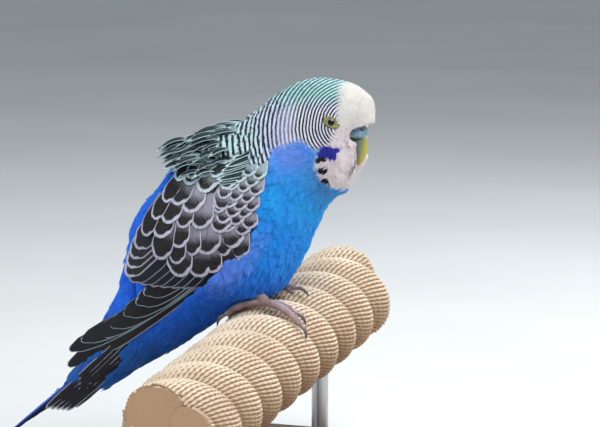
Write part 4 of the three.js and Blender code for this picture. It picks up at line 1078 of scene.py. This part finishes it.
# a base, a dark middle and a pale rim, streaked along the barbs, and a shaft
vane = Finish("covert_vane", Roughness=0.62, Specular_IOR_Level=0.24, Sheen_Weight=0.04, Sheen_Roughness=0.4)
vane_barb, vane_base = vane.read("barb", "Vector"), vane.read("base", "Vector")
vane_streak = vane.noise(1.0, 3, (2.6, 0.30, 1), vane_barb)
vane_fine = vane.noise(1.0, 2, (8.0, 0.6, 1), vane_barb)
vane_along = vane.swing(vane_streak, 0.35, vane.read("along"))
vane_depth = vane.sum("DIVIDE", vane.sum("SUBTRACT", vane_along, vane.read("dark_from")), 0.24)
vane_tone = vane.mix(vane.rise(vane_depth, 0.0, 1.0), vane_base, vane.read("middle", "Vector"))
vane_tone = vane.mix(vane.sum("MULTIPLY", vane.rise(vane_fine, 0.45, 0.8), 0.22), vane_tone, vane_base)
vane_edge = vane.swing(vane_streak, 0.6, vane.read("edge"))
vane_tone = vane.mix(vane.fall(vane_edge, 0.62, 1.0), vane_tone, vane.read("rim", "Vector"))
quill = vane.fall(vane.sum("ABSOLUTE", vane.read("across")), 0.02, 0.06)
vane_tone = vane.mix(vane.sum("MULTIPLY", quill, 0.45), vane_tone, (0.02, 0.017, 0.02))
vane_chance = vane.ramp(vane.read("luck"), (0.0, (0.84, 0.84, 0.86)), (1.0, WHITE))
vane_finish = vane.wear(
    colour=vane.mix(1.0, vane_tone, vane_chance, "MULTIPLY"),
    bump=vane.bump(vane_fine, 0.00015, 0.55, vane.bump(vane_streak, 0.0003, 0.35)))

DARK_BROWN = colour("#0C080B")
DARK_NAVY = colour("#0E1626")
PRIMARY_DARK = colour("#120F16")
LILAC_GREY = colour("#9C99A8")
DARK_BASE = colour("#3A343C")
MINT_GREY = colour("#92ABB2")
PALE_RIM = colour("#B9B6C8")
LOOSE_DARK = colour("#08181D")
PALE_MINT = colour("#BAD3D8")
TEAL_EDGE = colour("#9DB0BC")
TEAL_DARK = colour("#10303E")
LUCK_SEED = 7
LEAN_SPREAD = 3

wing_rng = np.random.default_rng(LUCK_SEED)


def leaning(degrees):
    """A direction on the wing's sheet, at about so many degrees from its length."""
    lean = math.radians(degrees + wing_rng.normal(0, LEAN_SPREAD))
    return np.array([math.cos(lean), math.sin(lean)])


# barred feathers between the back and the wing: place of the tip, half width, length, lean
SCAPULARS = [
    (4.6, -16.6, 3.4, 6.5, 8), (9.5, -17.8, 3.6, 8, 10), (9.2, -22.4, 3.4, 7, 4), (13.0, -14.2, 3.8, 10, 24),
    (13.8, -21.0, 3.5, 9, 4), (17.2, -17.6, 3.4, 9, 12), (21.4, -19.8, 3.3, 9, 12), (18.4, -24.6, 3.2, 9, 4)]
mantle = VaneBed(wing_rng)
for p, q, half, long, lean in SCAPULARS:
    ahead = leaning(lean)
    look = mantle.look(MINT_GREY, LOOSE_DARK, PALE_MINT, 0.24)
    mantle.add((p, q) - long * ahead, (p, q), half, (-0.3, 1.35 - 0.02 * p), "covert", look,
               rows=15, columns=11, roll=0.25, camber=0.4, widths=(0.3, 0.3, 1.15))

# narrow striped feathers that fan out from the neck over the wing: roots and tips, from above down
FAN_ROOTS = [(-9.4, -13.4), (-8.6, -11.0), (-7.0, -8.4), (-5.2, -6.0), (-3.4, -3.8)]
FAN_TIPS = [(2.6, -14.6), (6.2, -14.0), (8.8, -13.2), (10.6, -12.2), (11.6, -10.8)]
FAN_COUNT = 12
fan_shares = np.linspace(0, 1, FAN_COUNT)
fan_lines = [spline(line, fan_shares) for line in (FAN_ROOTS, FAN_TIPS)]
for number in range(FAN_COUNT):
    look = mantle.look(MINT_GREY, LOOSE_DARK, PALE_MINT, 0.0)
    root, tip = (line[number] + wing_rng.normal(0, 0.3, 2) for line in fan_lines)
    mantle.add(root, tip, wing_rng.uniform(0.8, 1.05), (-0.9, 1.75 - 0.03 * number), "strap", look,
               rows=22, columns=7, roll=0.15, camber=0.2, widths=(0.3, 0.3, 0.5),
               bend=wing_rng.normal(0.35, 0.2), blunt=1.2)

# large coverts: place of the tip, half width, length, lean, and how dark its base is
LARGE_COVERTS = [
    (41.6, 6.9, 4.3, 17, 47, 0.55), (36, 10.9, 4.1, 15, 47, 0.7), (31.2, 12.6, 3.2, 14, 46, 0.6),
    (27, 13.9, 3.8, 14, 45, 0.7), (21.5, 13.6, 3, 12, 44, 0.5), (43.4, -2.1, 4, 15, 42, 0.9),
    (39.2, 2.6, 3, 13, 45, 0.8), (35, -1.6, 3.5, 12, 44, 0.8), (39.8, -8.4, 4.1, 13, 38, 0.9),
    (44.4, -12.2, 3, 14, 27, 1), (28.2, 6.1, 4.3, 13, 46, 0.35), (32.6, 3.4, 3, 11, 45, 0.5),
    (20.6, 9.8, 3.9, 12, 46, 0.3), (24.6, 9.6, 2.6, 11, 46, 0.4), (34.6, -11.2, 4.2, 13, 34, 0.85),
    (38.4, -15.4, 2.8, 13, 24, 1), (25.4, -2.2, 4.1, 12, 45, 0.3), (30.3, -5.6, 3.3, 10, 42, 0.5),
    (20, 3, 3.5, 11, 45, 0.2), (25.4, -8.4, 4.6, 13, 40, 0.2), (29.2, -14.6, 4, 12, 30, 0.6),
    (32.6, -18.4, 2.8, 12, 22, 1), (18.2, -11.4, 4.4, 12, 38, 0.15), (22.6, -17.6, 3.8, 11, 28, 0.3),
    (15.4, -2.6, 3.5, 10, 42, 0.15), (10.6, -7.4, 3.2, 8.5, 40, 0.1), (14.6, -17.4, 3.4, 9.5, 32, 0.1),
    (17.4, -23, 3.2, 9.5, 24, 0.3), (25.6, -21.2, 3, 10.5, 20, 0.8)]
# small coverts along the front edge, in rows: step between rows, between feathers, half width, length, lean
FRONT_COVERTS = (2.75, 4.3, 2.6, 6.6, 42)
COVERT_ROOT = -0.35
COVERT_WIDER = 1.12
coverts = VaneBed(wing_rng)
covert_places = list(LARGE_COVERTS)
row_step, place_step, half, long, lean = FRONT_COVERTS
ahead = np.array([math.cos(math.radians(lean)), math.sin(math.radians(lean))])
for row in range(-4, 12):
    for place in range(-5, 6):
        p, q = ahead * row_step * row + ahead[::-1] * (1, -1) * place_step * (place + 0.5 * (row % 2))
        inside = min(between(COVERT_EDGE, p) - 1.2 - q, q + 5.4 + 0.7 * p)
        if inside > 0 and p + 0.1 * q < 18.5 and p - 0.9 * q < 19.5:
            covert_places.append((p, q, half, long, lean, 0.12 + 0.015 * (p + q)))
for p, q, half, long, lean, darkness in covert_places:
    ahead = leaning(lean)
    tip = (p, q) + wing_rng.normal(0, 0.2, 2)
    depth = 0.7 * p + 0.7 * q
    mint = float(ease(-depth - 0.5 * q, -7, 9))
    base = LILAC_GREY + (MINT_GREY - LILAC_GREY) * mint
    look = coverts.look(base + (DARK_BASE - base) * darkness * 0.8, DARK_BROWN,
                        PALE_RIM + (PALE_MINT - PALE_RIM) * mint, 0.56 - 0.30 * darkness)
    half *= COVERT_WIDER
    side_rim = 0.06 * half + 0.12
    coverts.add(tip - long * ahead, tip, half, (COVERT_ROOT, 0.95 - 0.022 * depth), "covert", look,
                rows=15, columns=11, roll=0.28, camber=0.4, widths=(side_rim, side_rim, 0.21 * half + 0.35))

# the long feathers, in three rows: tips and roots from the back to the belly, count, half width and
# height at both ends, colours of base, middle and rim, outline, bend, and widths of the rim
FLIGHT_ROWS = [
    ([(50.7, -11.5), (55.9, -9), (60, -6)], [(29, -15), (29, -12), (29, -9)], 4, (4.6, 4.2), (-1.2, -1.45),
     (LILAC_GREY, DARK_BROWN, PALE_RIM), "flight", 0.5, (0.35, 0.6, 1.2)),
    ([(59.6, -3.6), (55.4, 0.6), (50.8, 4.6), (46.6, 8.2), (42, 12)],
     [(31, -5), (29, -2), (28, 1.5), (27.5, 4.5), (27, 7)], 7, (4.4, 3.6), (-1.5, -1.95),
     (TEAL_DARK, DARK_NAVY, LILAC_GREY), "flight", 0.8, (0.2, 0.45, 0.8)),
    ([(58.4, 3.4), (63.6, 4.2), (71.7, 4.2), (80.4, 4.2), (89.6, 3.0), (97.2, 1.0), (104.5, 0.6),
      (109.5, 4.4)],
     [(31, 6), (32, 8), (33, 9.5), (34, 10), (34.5, 10.5), (35, 11), (35.5, 11.5), (36, 12.5)],
     8, (4.0, 3.3), (-2.0, -2.75), (DARK_NAVY, PRIMARY_DARK, TEAL_EDGE), "blade", 1.2, (0.08, 0.42, 0.35))]
flights = VaneBed(wing_rng)
for tips, roots, count, halves, heights, colours, outline, bend, widths in FLIGHT_ROWS:
    row_shares = np.linspace(0, 1, count)
    for share, tip, root in zip(row_shares, spline(tips, row_shares), spline(roots, row_shares)):
        half, top = (first + (last - first) * share for first, last in (halves, heights))
        flights.add(root, tip, half, (top - 0.25, top), outline, flights.look(*colours, 0.1), rows=22,
                    columns=9, roll=0.24, camber=0.15, widths=widths, bend=bend, blunt=0.7, shaft=0.35)

# the long loose feathers of the shoulder lie over the wing's upper edge, and their tips stand off it
LOOSE_ROOTS = [(-9, -18, 68.4), (-14, -17, 70.4), (-15, -14, 73), (-15, -11, 75.6), (-16, -8, 76.6),
               (-18, -5, 76.4), (-18, -2, 76.6)]
LOOSE_TIPS = [(-19, -22.6, 62.4), (-30, -20.4, 63.6), (-34, -17.6, 66.2), (-36, -14.5, 68.6),
              (-37.5, -10, 69.4), (-38.8, -6.5, 68.2), (-36, -2.5, 69.5)]
LOOSE_COUNT = 46
LOOSE_TIERS = (0, 0.5, 0.24, 0.74)
LOOSE_LENGTH = 0.66
LOOSE_UP = np.array([-0.25, -0.62, 0.75])
loose = VaneBed(wing_rng)
for number in range(LOOSE_COUNT):
    root, tip = (spline(line, (number + 0.5) / LOOSE_COUNT) for line in (LOOSE_ROOTS, LOOSE_TIPS))
    shift = LOOSE_TIERS[number % len(LOOSE_TIERS)]
    line = tip - root
    tip = tip - shift * line + wing_rng.normal(0, 0.7, 3) + (0, 0, 1.6 * shift)
    root = tip - LOOSE_LENGTH * line + wing_rng.normal(0, 0.5, 3)
    half = wing_rng.uniform(1.1, 1.7)
    length = float(np.linalg.norm(tip - root))
    ahead = (tip - root) / length
    stand = unit(LOOSE_UP - ahead * (LOOSE_UP @ ahead))
    aside = np.cross(stand, ahead)

    def loose_place(p, q, h, root=root, ahead=ahead, aside=aside, stand=stand, length=length):
        """Along, across and off one loose feather to millimetres, with an arch in its length."""
        arch = 1.6 * np.sin(np.clip(p / length, 0, 1) * math.pi) - 1.9 * (1 - p / length) ** 2 - 0.5
        return root + np.multiply.outer(p, ahead) + np.multiply.outer(q, aside) \
            + np.multiply.outer(h + arch, stand)

    look = loose.look(MINT_GREY, LOOSE_DARK, PALE_MINT if number % 3 == 0 else MINT_GREY, 0.12)
    loose.add((0, 0), (length, wing_rng.normal(0, 0.6)), half, (0, 0), "blade", look,
              rows=20, columns=7, roll=0.2, camber=0.3, widths=(0.3, 0.3, 0.6),
              bend=wing_rng.normal(0, 0.8), blunt=1.6, place=loose_place)

PAD_FRONT = [(8, -24.5), (0, -18.5), (-3.6, -12), (-3, -7), (1.8, 0.4), (8, 6.6), (17, 10.4)]
PAD_REAR = [(43, -10.5), (47, -6), (50, 0), (50, 4), (47, 8), (43, 9.5), (36, 10.5)]
PAD_ROWS = 21
PAD_COLUMNS = 25
PAD_THICKNESS = 0.7
front, rear = (spline(line, np.linspace(0, 1, PAD_COLUMNS)) for line in (PAD_FRONT, PAD_REAR))
pad_p, pad_q = np.concatenate([front + (rear - front) * share for share in np.linspace(0, 1, PAD_ROWS)]).T
pad_top = -0.75 - 2.0 * ease(pad_p, 20, 34)
pad_points = np.concatenate([wing_place(pad_p, pad_q, pad_top - deep) for deep in (0, PAD_THICKNESS)])
pad_grid = np.arange(PAD_ROWS * PAD_COLUMNS).reshape(PAD_ROWS, PAD_COLUMNS)
pad_faces = sheet_faces(pad_grid, ((1, 0), (1, 1), (0, 1), (0, 0)))
down = Finish("wing_down", Roughness=0.9)
wing_down = down.wear(
    colour=down.ramp(down.noise(900, 3), (0.3, (0.03, 0.028, 0.036)), (0.7, (0.12, 0.12, 0.15))),
    bump=down.bump(down.noise(2200, 2), 0.0003, 0.6))
for side, flip in (("right", 1), ("left", -1)):
    coverts.build(f"wing_{side}_small_vanes", flip)
    mantle.build(f"wing_{side}_mantle_vanes", flip)
    loose.build(f"wing_{side}_loose_vanes", flip)
    flights.build(f"wing_{side}_long_vanes", flip)
    pad = make_piece(f"wing_{side}_pad", pad_points * (1, flip, 1),
                     turned_over(pad_faces) if flip < 0 else pad_faces, wing_down)
    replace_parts(pad, f"wing_{side}_coverts", f"wing_{side}_flight")


# Tail: twelve long narrow feathers that lie in steps, the middle pair on top and longest. The upper
# pairs are bright blue along the middle and the lower ones duller, all with navy edges and dark shafts.
TAIL_ROOT = np.array([-56.0, 0, -1.5])
TAIL_END = np.array([-100.0, 0, -38.5])
TAIL_PAIRS = 6
TAIL_STEP = 0.135
TAIL_SPREAD = 0.55
TAIL_HALF = 2.15
TAIL_TOP = 3.2
TAIL_LAYER = 0.5
TAIL_ROOF = 0.55
TAIL_BLUE = colour("#0B5BE0")
TAIL_TEAL = colour("#0B4A86")
TAIL_NAVY = colour("#0A1440")
TAIL_SEED = 5
tail_along = unit(TAIL_END - TAIL_ROOT)
tail_up = np.array([tail_along[2], 0, -tail_along[0]])
tail_length = float(np.linalg.norm(TAIL_END - TAIL_ROOT))


def tail_place(s, y, h):
    """Tail coordinates to millimetres: s to its tip, y to the right, h off it, with a roof's slope."""
    fall = h - TAIL_ROOF * np.abs(y)
    return TAIL_ROOT + np.multiply.outer(s, tail_along) + np.multiply.outer(-y, (0, 1.0, 0)) \
        + np.multiply.outer(fall, tail_up)


tail_vanes = VaneBed(np.random.default_rng(TAIL_SEED))
for step in range(TAIL_PAIRS):
    long = tail_length * (1 - TAIL_STEP * step ** 0.85)
    for side in (-1, 1):
        spread = side * TAIL_SPREAD * (step + 0.5)
        look = tail_vanes.look(TAIL_BLUE, TAIL_BLUE if step < 2 else TAIL_TEAL, TAIL_NAVY, 0.1)
        height = TAIL_TOP - TAIL_LAYER * step + 0.05 * side
        tail_vanes.add((0, spread), (long, spread * 0.55), TAIL_HALF, (height, height), "tail", look,
                       rows=26, columns=9, roll=0.0, camber=0.1, widths=(0.9, 0.9, 1.0), blunt=1.6,
                       place=tail_place)

# the outer tail feathers lie along the flanks below the wing tips before they join the tail
FLANK_ROOT = np.array([-44.5, 7.2])
FLANK_TIP = np.array([-86.0, -29.0])
FLANK_STEP = 1.35
FLANK_ROWS = 5
FLANK_MIDDLE = 1.5
flank_along = unit(FLANK_TIP - FLANK_ROOT)
dense_t, dense_phi = (g.ravel() for g in np.meshgrid(np.linspace(0.55, 1, 120), np.linspace(0, math.pi, 90)))
dense_body = body_place(dense_t, dense_phi)
for row in range(FLANK_ROWS):
    for side in (1, -1):
        def on_flank(s, v, h, side=side, lower=FLANK_STEP * (row - FLANK_MIDDLE)):
            """Along the flank: s from under the wing to the tail's tip, v across, h off the coat."""
            flat = FLANK_ROOT + np.multiply.outer(s, flank_along) \
                + np.multiply.outer(v - lower, (flank_along[1], -flank_along[0]))
            far = ((dense_body[:, ::2][None] - flat[:, None]) ** 2).sum(2)
            near = np.argsort(far, axis=1)[:, :6]
            weight = 1 / (np.take_along_axis(far, near, 1) + 0.3)
            out = (np.abs(dense_body[near, 1]) * weight).sum(1) / weight.sum(1)
            out = np.maximum(np.where(flat[:, 0] < -72, out * 0.5 + 1.5, out), 3.0) + h
            return np.stack([flat[:, 0], -side * out, flat[:, 1]], 1)

        look = tail_vanes.look(TAIL_NAVY, PRIMARY_DARK, LILAC_GREY, 0.0)
        tail_vanes.add((1.0 * row, 0), (52.0 - 1.5 * row, 0), 1.3, (-2.4, 1.0 - 0.1 * row), "flight", look,
                       rows=26, columns=7, roll=0.0, camber=0.15, widths=(0.35, 0.35, 0.6), blunt=1.6,
                       place=on_flank)
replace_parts(tail_vanes.build("tail_vanes"), "tail")


# Eyes: glossy dark balls with a thin pale ring of iris, each in a bare rim of olive yellow skin that
# is drawn out to a point at its lower front. The rim is grained with small raised granules.
EYE_HALF = 12.9
EYE_RADIUS = 2.9
EYE_SINK = 2.1
EYE_AHEAD = np.array([0.383, 0.902, 0.203])
EYE_RINGS = 40
EYE_SIDES = 48
# distance from the eye's axis, height over the eye's middle, share of the point's reach
RIM_PROFILE = [(1.28, 2.1, 0), (1.34, 2.52, 0.1), (1.50, 2.72, 0.3), (1.76, 2.80, 0.6), (2.05, 2.68, 0.9),
               (2.30, 2.40, 1), (2.45, 1.7, 1), (2.0, 1.3, 0.5)]
RIM_STEPS = 96
RIM_NARROW = 0.17
GRANULE_HEIGHT = 0.05
GRANULE_SEED = 3

eye = Finish("eye_ball", Roughness=0.04, Specular_IOR_Level=0.15, Coat_Weight=0.5, Coat_Roughness=0.02)
eye_zone = eye.sum("DIVIDE", eye.swing(eye.noise(2600, 2), 5.0, eye.read("from_axis")), 90.0)
eye_ball = eye.wear(
    colour=eye.ramp(eye_zone, (0.0, (0.004, 0.003, 0.004)), (0.23, (0.006, 0.004, 0.004)),
                    (0.25, (0.07, 0.05, 0.035)), (0.275, (0.22, 0.21, 0.14)), (0.305, (0.30, 0.29, 0.18)),
                    (0.33, (0.05, 0.045, 0.02))),
    bump=eye.bump(eye.noise(30, 2), 0.0001, 0.02))
rim_skin = Finish("eye_rim", Roughness=0.5, Subsurface_Weight=0.08, Subsurface_Scale=0.001)
rim_grain = rim_skin.noise(2400, 3)
eye_rim = rim_skin.wear(
    colour=rim_skin.ramp(rim_grain, (0.3, (0.085, 0.09, 0.02)), (0.55, (0.19, 0.20, 0.05)),
                         (0.78, (0.36, 0.37, 0.14))),
    bump=rim_skin.bump(rim_grain, 0.0003, 0.7))


def swelling(turn, middle, spread):
    """1 at one turn round the eye, and towards 0 away from it."""
    return np.exp(-(math.remainder(turn - middle, 2 * math.pi) / spread) ** 2)


for name, side in (("right", -1), ("left", 1)):
    ahead = unit(EYE_AHEAD * (1, side, 1))
    front = unit(np.cross(ahead, (0, 0, 1.0)) * side)
    upward = np.cross(ahead, front) * -side
    middle = np.array([EYE_PLACE[0], side * EYE_HALF, EYE_PLACE[2]]) - ahead * EYE_SINK
    points, angles = [], []
    for ring in range(EYE_RINGS):
        polar = math.pi * (ring + 0.5) / EYE_RINGS
        for step in range(EYE_SIDES):
            turn = 2 * math.pi * step / EYE_SIDES
            flat = front * math.cos(turn) + upward * math.sin(turn)
            points.append(middle + EYE_RADIUS * (ahead * math.cos(polar) + flat * math.sin(polar)))
            angles.append(math.degrees(polar))
    faces = tube_faces(EYE_RINGS, EYE_SIDES)
    ball = make_piece(f"eye_ball_{name}", points, faces if side < 0 else turned_over(faces), eye_ball)
    write(ball.data, "from_axis", angles)
    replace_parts(ball, f"eye_{name}")

    points, faces = [], []
    granule_rng = np.random.default_rng(GRANULE_SEED)
    sides = len(RIM_PROFILE)
    for step in range(RIM_STEPS):
        turn = 2 * math.pi * step / RIM_STEPS
        before, behind = swelling(turn, 0, 0.42), swelling(turn, math.pi, 0.5)
        flat = front * math.cos(turn + EYE_SLANT) + upward * math.sin(turn + EYE_SLANT)
        for number, (reach, height, share) in enumerate(RIM_PROFILE):
            wide = reach * (1 + 0.04 * math.cos(2 * turn) - RIM_NARROW * share * math.sin(turn) ** 2)
            wide += share * (0.75 * before + 0.3 * behind)
            grain = granule_rng.normal(0, GRANULE_HEIGHT) if 0 < number < 6 else 0
            droop = -share * (0.25 * before + 0.1 * behind)
            points.append(middle + flat * wide + ahead * (height + grain + droop))
            low, high = step * sides, (step + 1) % RIM_STEPS * sides
            after = (number + 1) % sides
            faces.append((low + number, low + after, high + after, high + number))
    make_piece(f"eye_rim_{name}", points, turned_over(faces) if side < 0 else faces, eye_rim)


# Cere: the swollen blue-grey skin over the bill, two bulbs side by side with a nostril pit in each,
# slightly glossy. Its sections are given like the body's.
CERE = [((28.4, 79.6), (28.0, 75.4), 4.4), ((30.2, 80.0), (30.0, 75.5), 5.2),
        ((32.2, 79.9), (32.4, 75.5), 5.0), ((33.5, 79.3), (33.8, 75.6), 4.1),
        ((34.3, 78.4), (34.5, 76.0), 2.8), ((34.8, 77.6), (34.8, 76.7), 0.6)]
CERE_MIDDLE = (31.6, 0, 77.6)
NOSTRIL = np.array([33.6, 2.3, 78.7])


def head_loft(sections, rings, sides, narrow=0.0):
    """A closed form through sections between an upper and a lower line, narrower at its top if asked."""
    t = np.repeat(np.linspace(0, 1, rings), sides)
    angle = np.tile(np.linspace(0, 2 * math.pi, sides, endpoint=False), rings)
    top, low, half = loft_lines(sections, t)
    wide = np.sin(angle) * (1 - narrow * np.cos(angle))
    upright = (top - low) / 2 * np.cos(angle)[:, None]
    points = (top + low) / 2 + upright + np.array([0, 1.0, 0]) * half * wide[:, None]
    return points, turned_over(tube_faces(rings, sides)), t, angle


cere = Finish("cere_skin", Roughness=0.34, Subsurface_Weight=0.12, Subsurface_Scale=0.001, Coat_Weight=0.35,
              Coat_Roughness=0.2)
cere_skin = cere.wear(
    colour=cere.ramp(cere.noise(420, 4), (0.3, (0.075, 0.15, 0.20)), (0.55, (0.15, 0.27, 0.34)),
                     (0.8, (0.28, 0.42, 0.48))),
    bump=cere.bump(cere.noise(1800, 3), 0.0002, 0.5))
points, faces, _, _ = head_loft(CERE, rings=90, sides=120)
from_middle, level = np.abs(points[:, 1]), points[:, 2]
away = np.linalg.norm(on_left(points) - NOSTRIL, axis=1)
groove = -0.55 * np.exp(-(from_middle / 0.55) ** 2) * ease(level, 77.0, 78.8)
bulb = 0.35 * np.exp(-((from_middle - 2.2) / 1.2) ** 2) * ease(level, 77.0, 79.0)
pit = -1.0 * np.exp(-(away / 0.55) ** 4) + 0.22 * np.exp(-((away - 0.95) / 0.35) ** 2)
points = points + unit(points - CERE_MIDDLE) * (groove + bulb + pit)[:, None]
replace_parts(make_piece("cere_bulbs", points, faces, cere_skin), "cere")

# Bill: horn, hooked, olive yellow. Fine growth lines cross it. It is grey-green at its root below the cere
# and along its back edge, and turns yellower towards its ridge and its tip; the grey-green is partly the
# horn's own tone and partly painted shade.
UPPER_BILL = [((32.0, 77.0), (28.2, 72.2), 3.2), ((34.4, 76.4), (29.0, 71.2), 3.0),
              ((35.1, 74.0), (29.9, 70.4), 2.6), ((35.0, 71.3), (30.6, 69.4), 2.05),
              ((34.2, 68.7), (31.1, 67.9), 1.3), ((32.3, 66.4), (31.5, 66.5), 0.3)]
LOWER_BILL = [((28.2, 70.9), (26.4, 67.6), 2.7), ((29.8, 69.6), (28.9, 66.5), 2.3),
              ((31.0, 68.2), (30.8, 66.3), 1.6), ((31.6, 67.4), (31.6, 66.8), 0.5)]
GROWTH_HEIGHT = 0.004
GROWTH_LINES = 60
horn = Finish("bill_horn", Roughness=0.36, Subsurface_Weight=0.1, Subsurface_Scale=0.001, Coat_Weight=0.25,
              Coat_Roughness=0.25)
growth = horn.noise(1.0, 3, (34, 1.6, 1), horn.read("growth", "Vector"))
bill_horn = horn.wear(
    colour=horn.ramp(horn.swing(growth, 0.3, horn.read("tone")), (0.05, (0.075, 0.12, 0.11)),
                     (0.32, (0.14, 0.18, 0.10)), (0.5, (0.30, 0.27, 0.04)), (0.8, (0.42, 0.36, 0.03)),
                     (1.0, (0.50, 0.42, 0.08))),
    roughness=horn.level(growth, 0.25, 0.22), bump=horn.bump(growth, 0.0002, 0.35))
for node, sections, narrow in (("bill_upper", UPPER_BILL, 0.16), ("bill_lower", LOWER_BILL, 0.0)):
    points, faces, share, angle = head_loft(sections, rings=70, sides=40, narrow=narrow)
    points = points + (points - points.mean(0)) * (GROWTH_HEIGHT * np.sin(share * GROWTH_LINES))[:, None]
    piece = make_piece(f"{node}_horn", points, faces, bill_horn)
    # tone: low at the root and the back edge, partly painted shade, high at the ridge and the tip
    write(piece.data, "tone", -0.3 + share + 0.6 * np.cos(angle) * (1 - 0.5 * share))
    write(piece.data, "growth", np.stack([share, angle / 2, np.full(len(share), 0.5)], 1), "FLOAT_VECTOR")
    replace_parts(piece, node)


# Feet: two toes forward and two back round the rope, scaled above and padded below, with curved grey claws.
# A short bare shank rises from each foot into the feathers of the belly. Their lower sides are darkened to a
# reddish brown with painted shade.
FOOT_SIDE = 9
# name, side, and how far round the rope the foot is turned, in degrees
FEET = [("right", -1, 1), ("left", 1, -33)]
TOE_THICKNESS = 2.5
TOE_LIFT = TOE_THICKNESS * 0.55 + 0.3
TOE_TAPER = (1.1, 1, 0.92, 0.72)
TOE_TIP_DROP = 0.25
CLAW_THICKNESS = (1.5, 1.35, 0.95, 0.3)
CLAW_LIFT = (-0.1, 0.35, -0.1, -0.95)
# name, angle it reaches round the rope, sideways spread, thickness, angle of the claw
TOES = [("outer_front", 47, -1.6, 1.0, 15), ("inner_front", 36, 2.6, 0.9, 14),
        ("outer_back", -40, -2.4, 1.0, -14), ("inner_back", -27, 2.0, 0.85, -13)]
STATIONS = (0, 0.35, 0.7, 1)
SHANK_THICKNESS = (3.1, 3.4, 2.6, 2.7)
SCUTE_HEIGHT = 0.10
PAD_HEIGHT = 0.13


def on_rope(y, degrees, off):
    """A place over the rope: its angle from the top to the front, and how far off its surface."""
    angle = math.radians(degrees)
    out = ROPE_RADIUS + off
    return np.array([out * math.sin(angle), y, y * math.tan(ROPE_SLOPE) + out * math.cos(angle)])


def limb(places, thick, rings, sides, scutes=0, pads=0):
    """A rounded bar through places. Scutes step its upper side and pads swell its lower side."""
    t = np.linspace(0, 1, rings)
    middle = spline(places, t)
    radius = spline(list(enumerate(thick)), t)[:, 1] / 2
    along = unit(np.gradient(middle, axis=0))
    over = middle * (1, 0, 1)
    over = unit(over - along * np.sum(over * along, axis=1, keepdims=True), 1e-9)
    across = np.cross(along, over)
    from_end = np.minimum(t, 1 - t) * rings
    rounded = np.sqrt(np.clip(1 - (1 - from_end / 4) ** 2, 0.02, 1))
    radius = radius * np.where(from_end < 4, rounded, 1)
    angle = np.linspace(0, 2 * math.pi, sides, endpoint=False)
    up = np.cos(angle)
    size = np.ones((rings, sides))
    if scutes:
        size += SCUTE_HEIGHT * np.outer(1 - t * scutes % 1.0, np.clip(up, 0, 1))
    if pads:
        size += PAD_HEIGHT * np.outer(np.cos(2 * math.pi * pads * t), np.clip(-up, 0, 1))
    size *= radius[:, None]
    round_middle = over[:, None] * up[None, :, None] + across[:, None] * np.sin(angle)[None, :, None]
    points = middle[:, None] + size[..., None] * round_middle
    return points.reshape(-1, 3), tube_faces(rings, sides), np.repeat(t, sides), np.tile(up, rings)


foot = Finish("foot_skin", Roughness=0.52, Subsurface_Weight=0.1, Subsurface_Scale=0.001)
granules = foot.put("ShaderNodeTexVoronoi", {"Vector": foot.object_place, "Scale": 2100}).outputs["Distance"]
foot_tone = foot.ramp(foot.noise(330, 3), (0.3, (0.15, 0.10, 0.095)), (0.5, (0.26, 0.20, 0.21)),
                      (0.72, (0.38, 0.33, 0.36)))
# painted shade: the lower side of toes and shank is mixed towards a reddish brown
painted_shade_below = foot.ramp(foot.read("upper"), (0.35, (0.5, 0.5, 0.5)), (0.8, BLACK))
foot_skin = foot.wear(colour=foot.mix(painted_shade_below, foot_tone, (0.30, 0.13, 0.10)),
                      bump=foot.bump(granules, 0.0004, 0.6))
claw = Finish("claw_horn", Roughness=0.34)
claw_streak = claw.noise(700, 3)
claw_horn = claw.wear(
    colour=claw.ramp(claw.level(claw_streak, 0.3, claw.read("out")), (0.1, (0.24, 0.21, 0.21)),
                     (0.6, (0.12, 0.105, 0.11)), (1.0, (0.05, 0.045, 0.05))),
    bump=claw.bump(claw_streak, 0.0002, 0.4))
for hand, side, turn in FEET:
    y0 = side * FOOT_SIDE
    lumps = []
    for name, to, spread, thick, claw_turn in TOES:
        places = [on_rope(y0 - side * spread * t, turn + to * t, TOE_LIFT - (TOE_TIP_DROP if t == 1 else 0))
                  for t in STATIONS]
        lumps.append(limb(places, [TOE_THICKNESS * thick * taper for taper in TOE_TAPER],
                          rings=130, sides=18, scutes=12, pads=3.5))
        places = [on_rope(y0 - side * spread * (1 + 0.2 * t), turn + to + claw_turn * t, TOE_LIFT + lift)
                  for t, lift in zip(STATIONS, CLAW_LIFT)]
        points, faces, share, _ = limb(places, CLAW_THICKNESS, rings=40, sides=14)
        piece = make_piece(f"claw_{hand}_{name}_horn", points, faces, claw_horn)
        write(piece.data, "out", share)
        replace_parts(piece, f"claw_{hand}_{name}")
    low = on_rope(y0, turn, TOE_LIFT + 1.05)
    places = [low + (1.2, 0, -1.2), low, low + (-3.2, side * 0.2, 2.6), low + (-6.4, side * 0.4, 5.4)]
    lumps.append(limb(places, SHANK_THICKNESS, rings=60, sides=20, scutes=9))
    first, faces = 0, []
    for lump in lumps:
        faces += [tuple(k + first for k in face) for face in lump[1]]
        first += len(lump[0])
    points = np.concatenate([lump[0] for lump in lumps])
    piece = make_piece(f"foot_{hand}_toes", points, faces, foot_skin)
    write(piece.data, "upper", np.concatenate([lump[3] for lump in lumps]) * 0.5 + 0.5)
    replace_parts(piece, f"foot_{hand}", f"shank_{hand}")

# the single tufts were only patterns for the coat
for spent in list(tufts.objects):
    bpy.data.objects.remove(spent)
bpy.data.collections.remove(tufts)
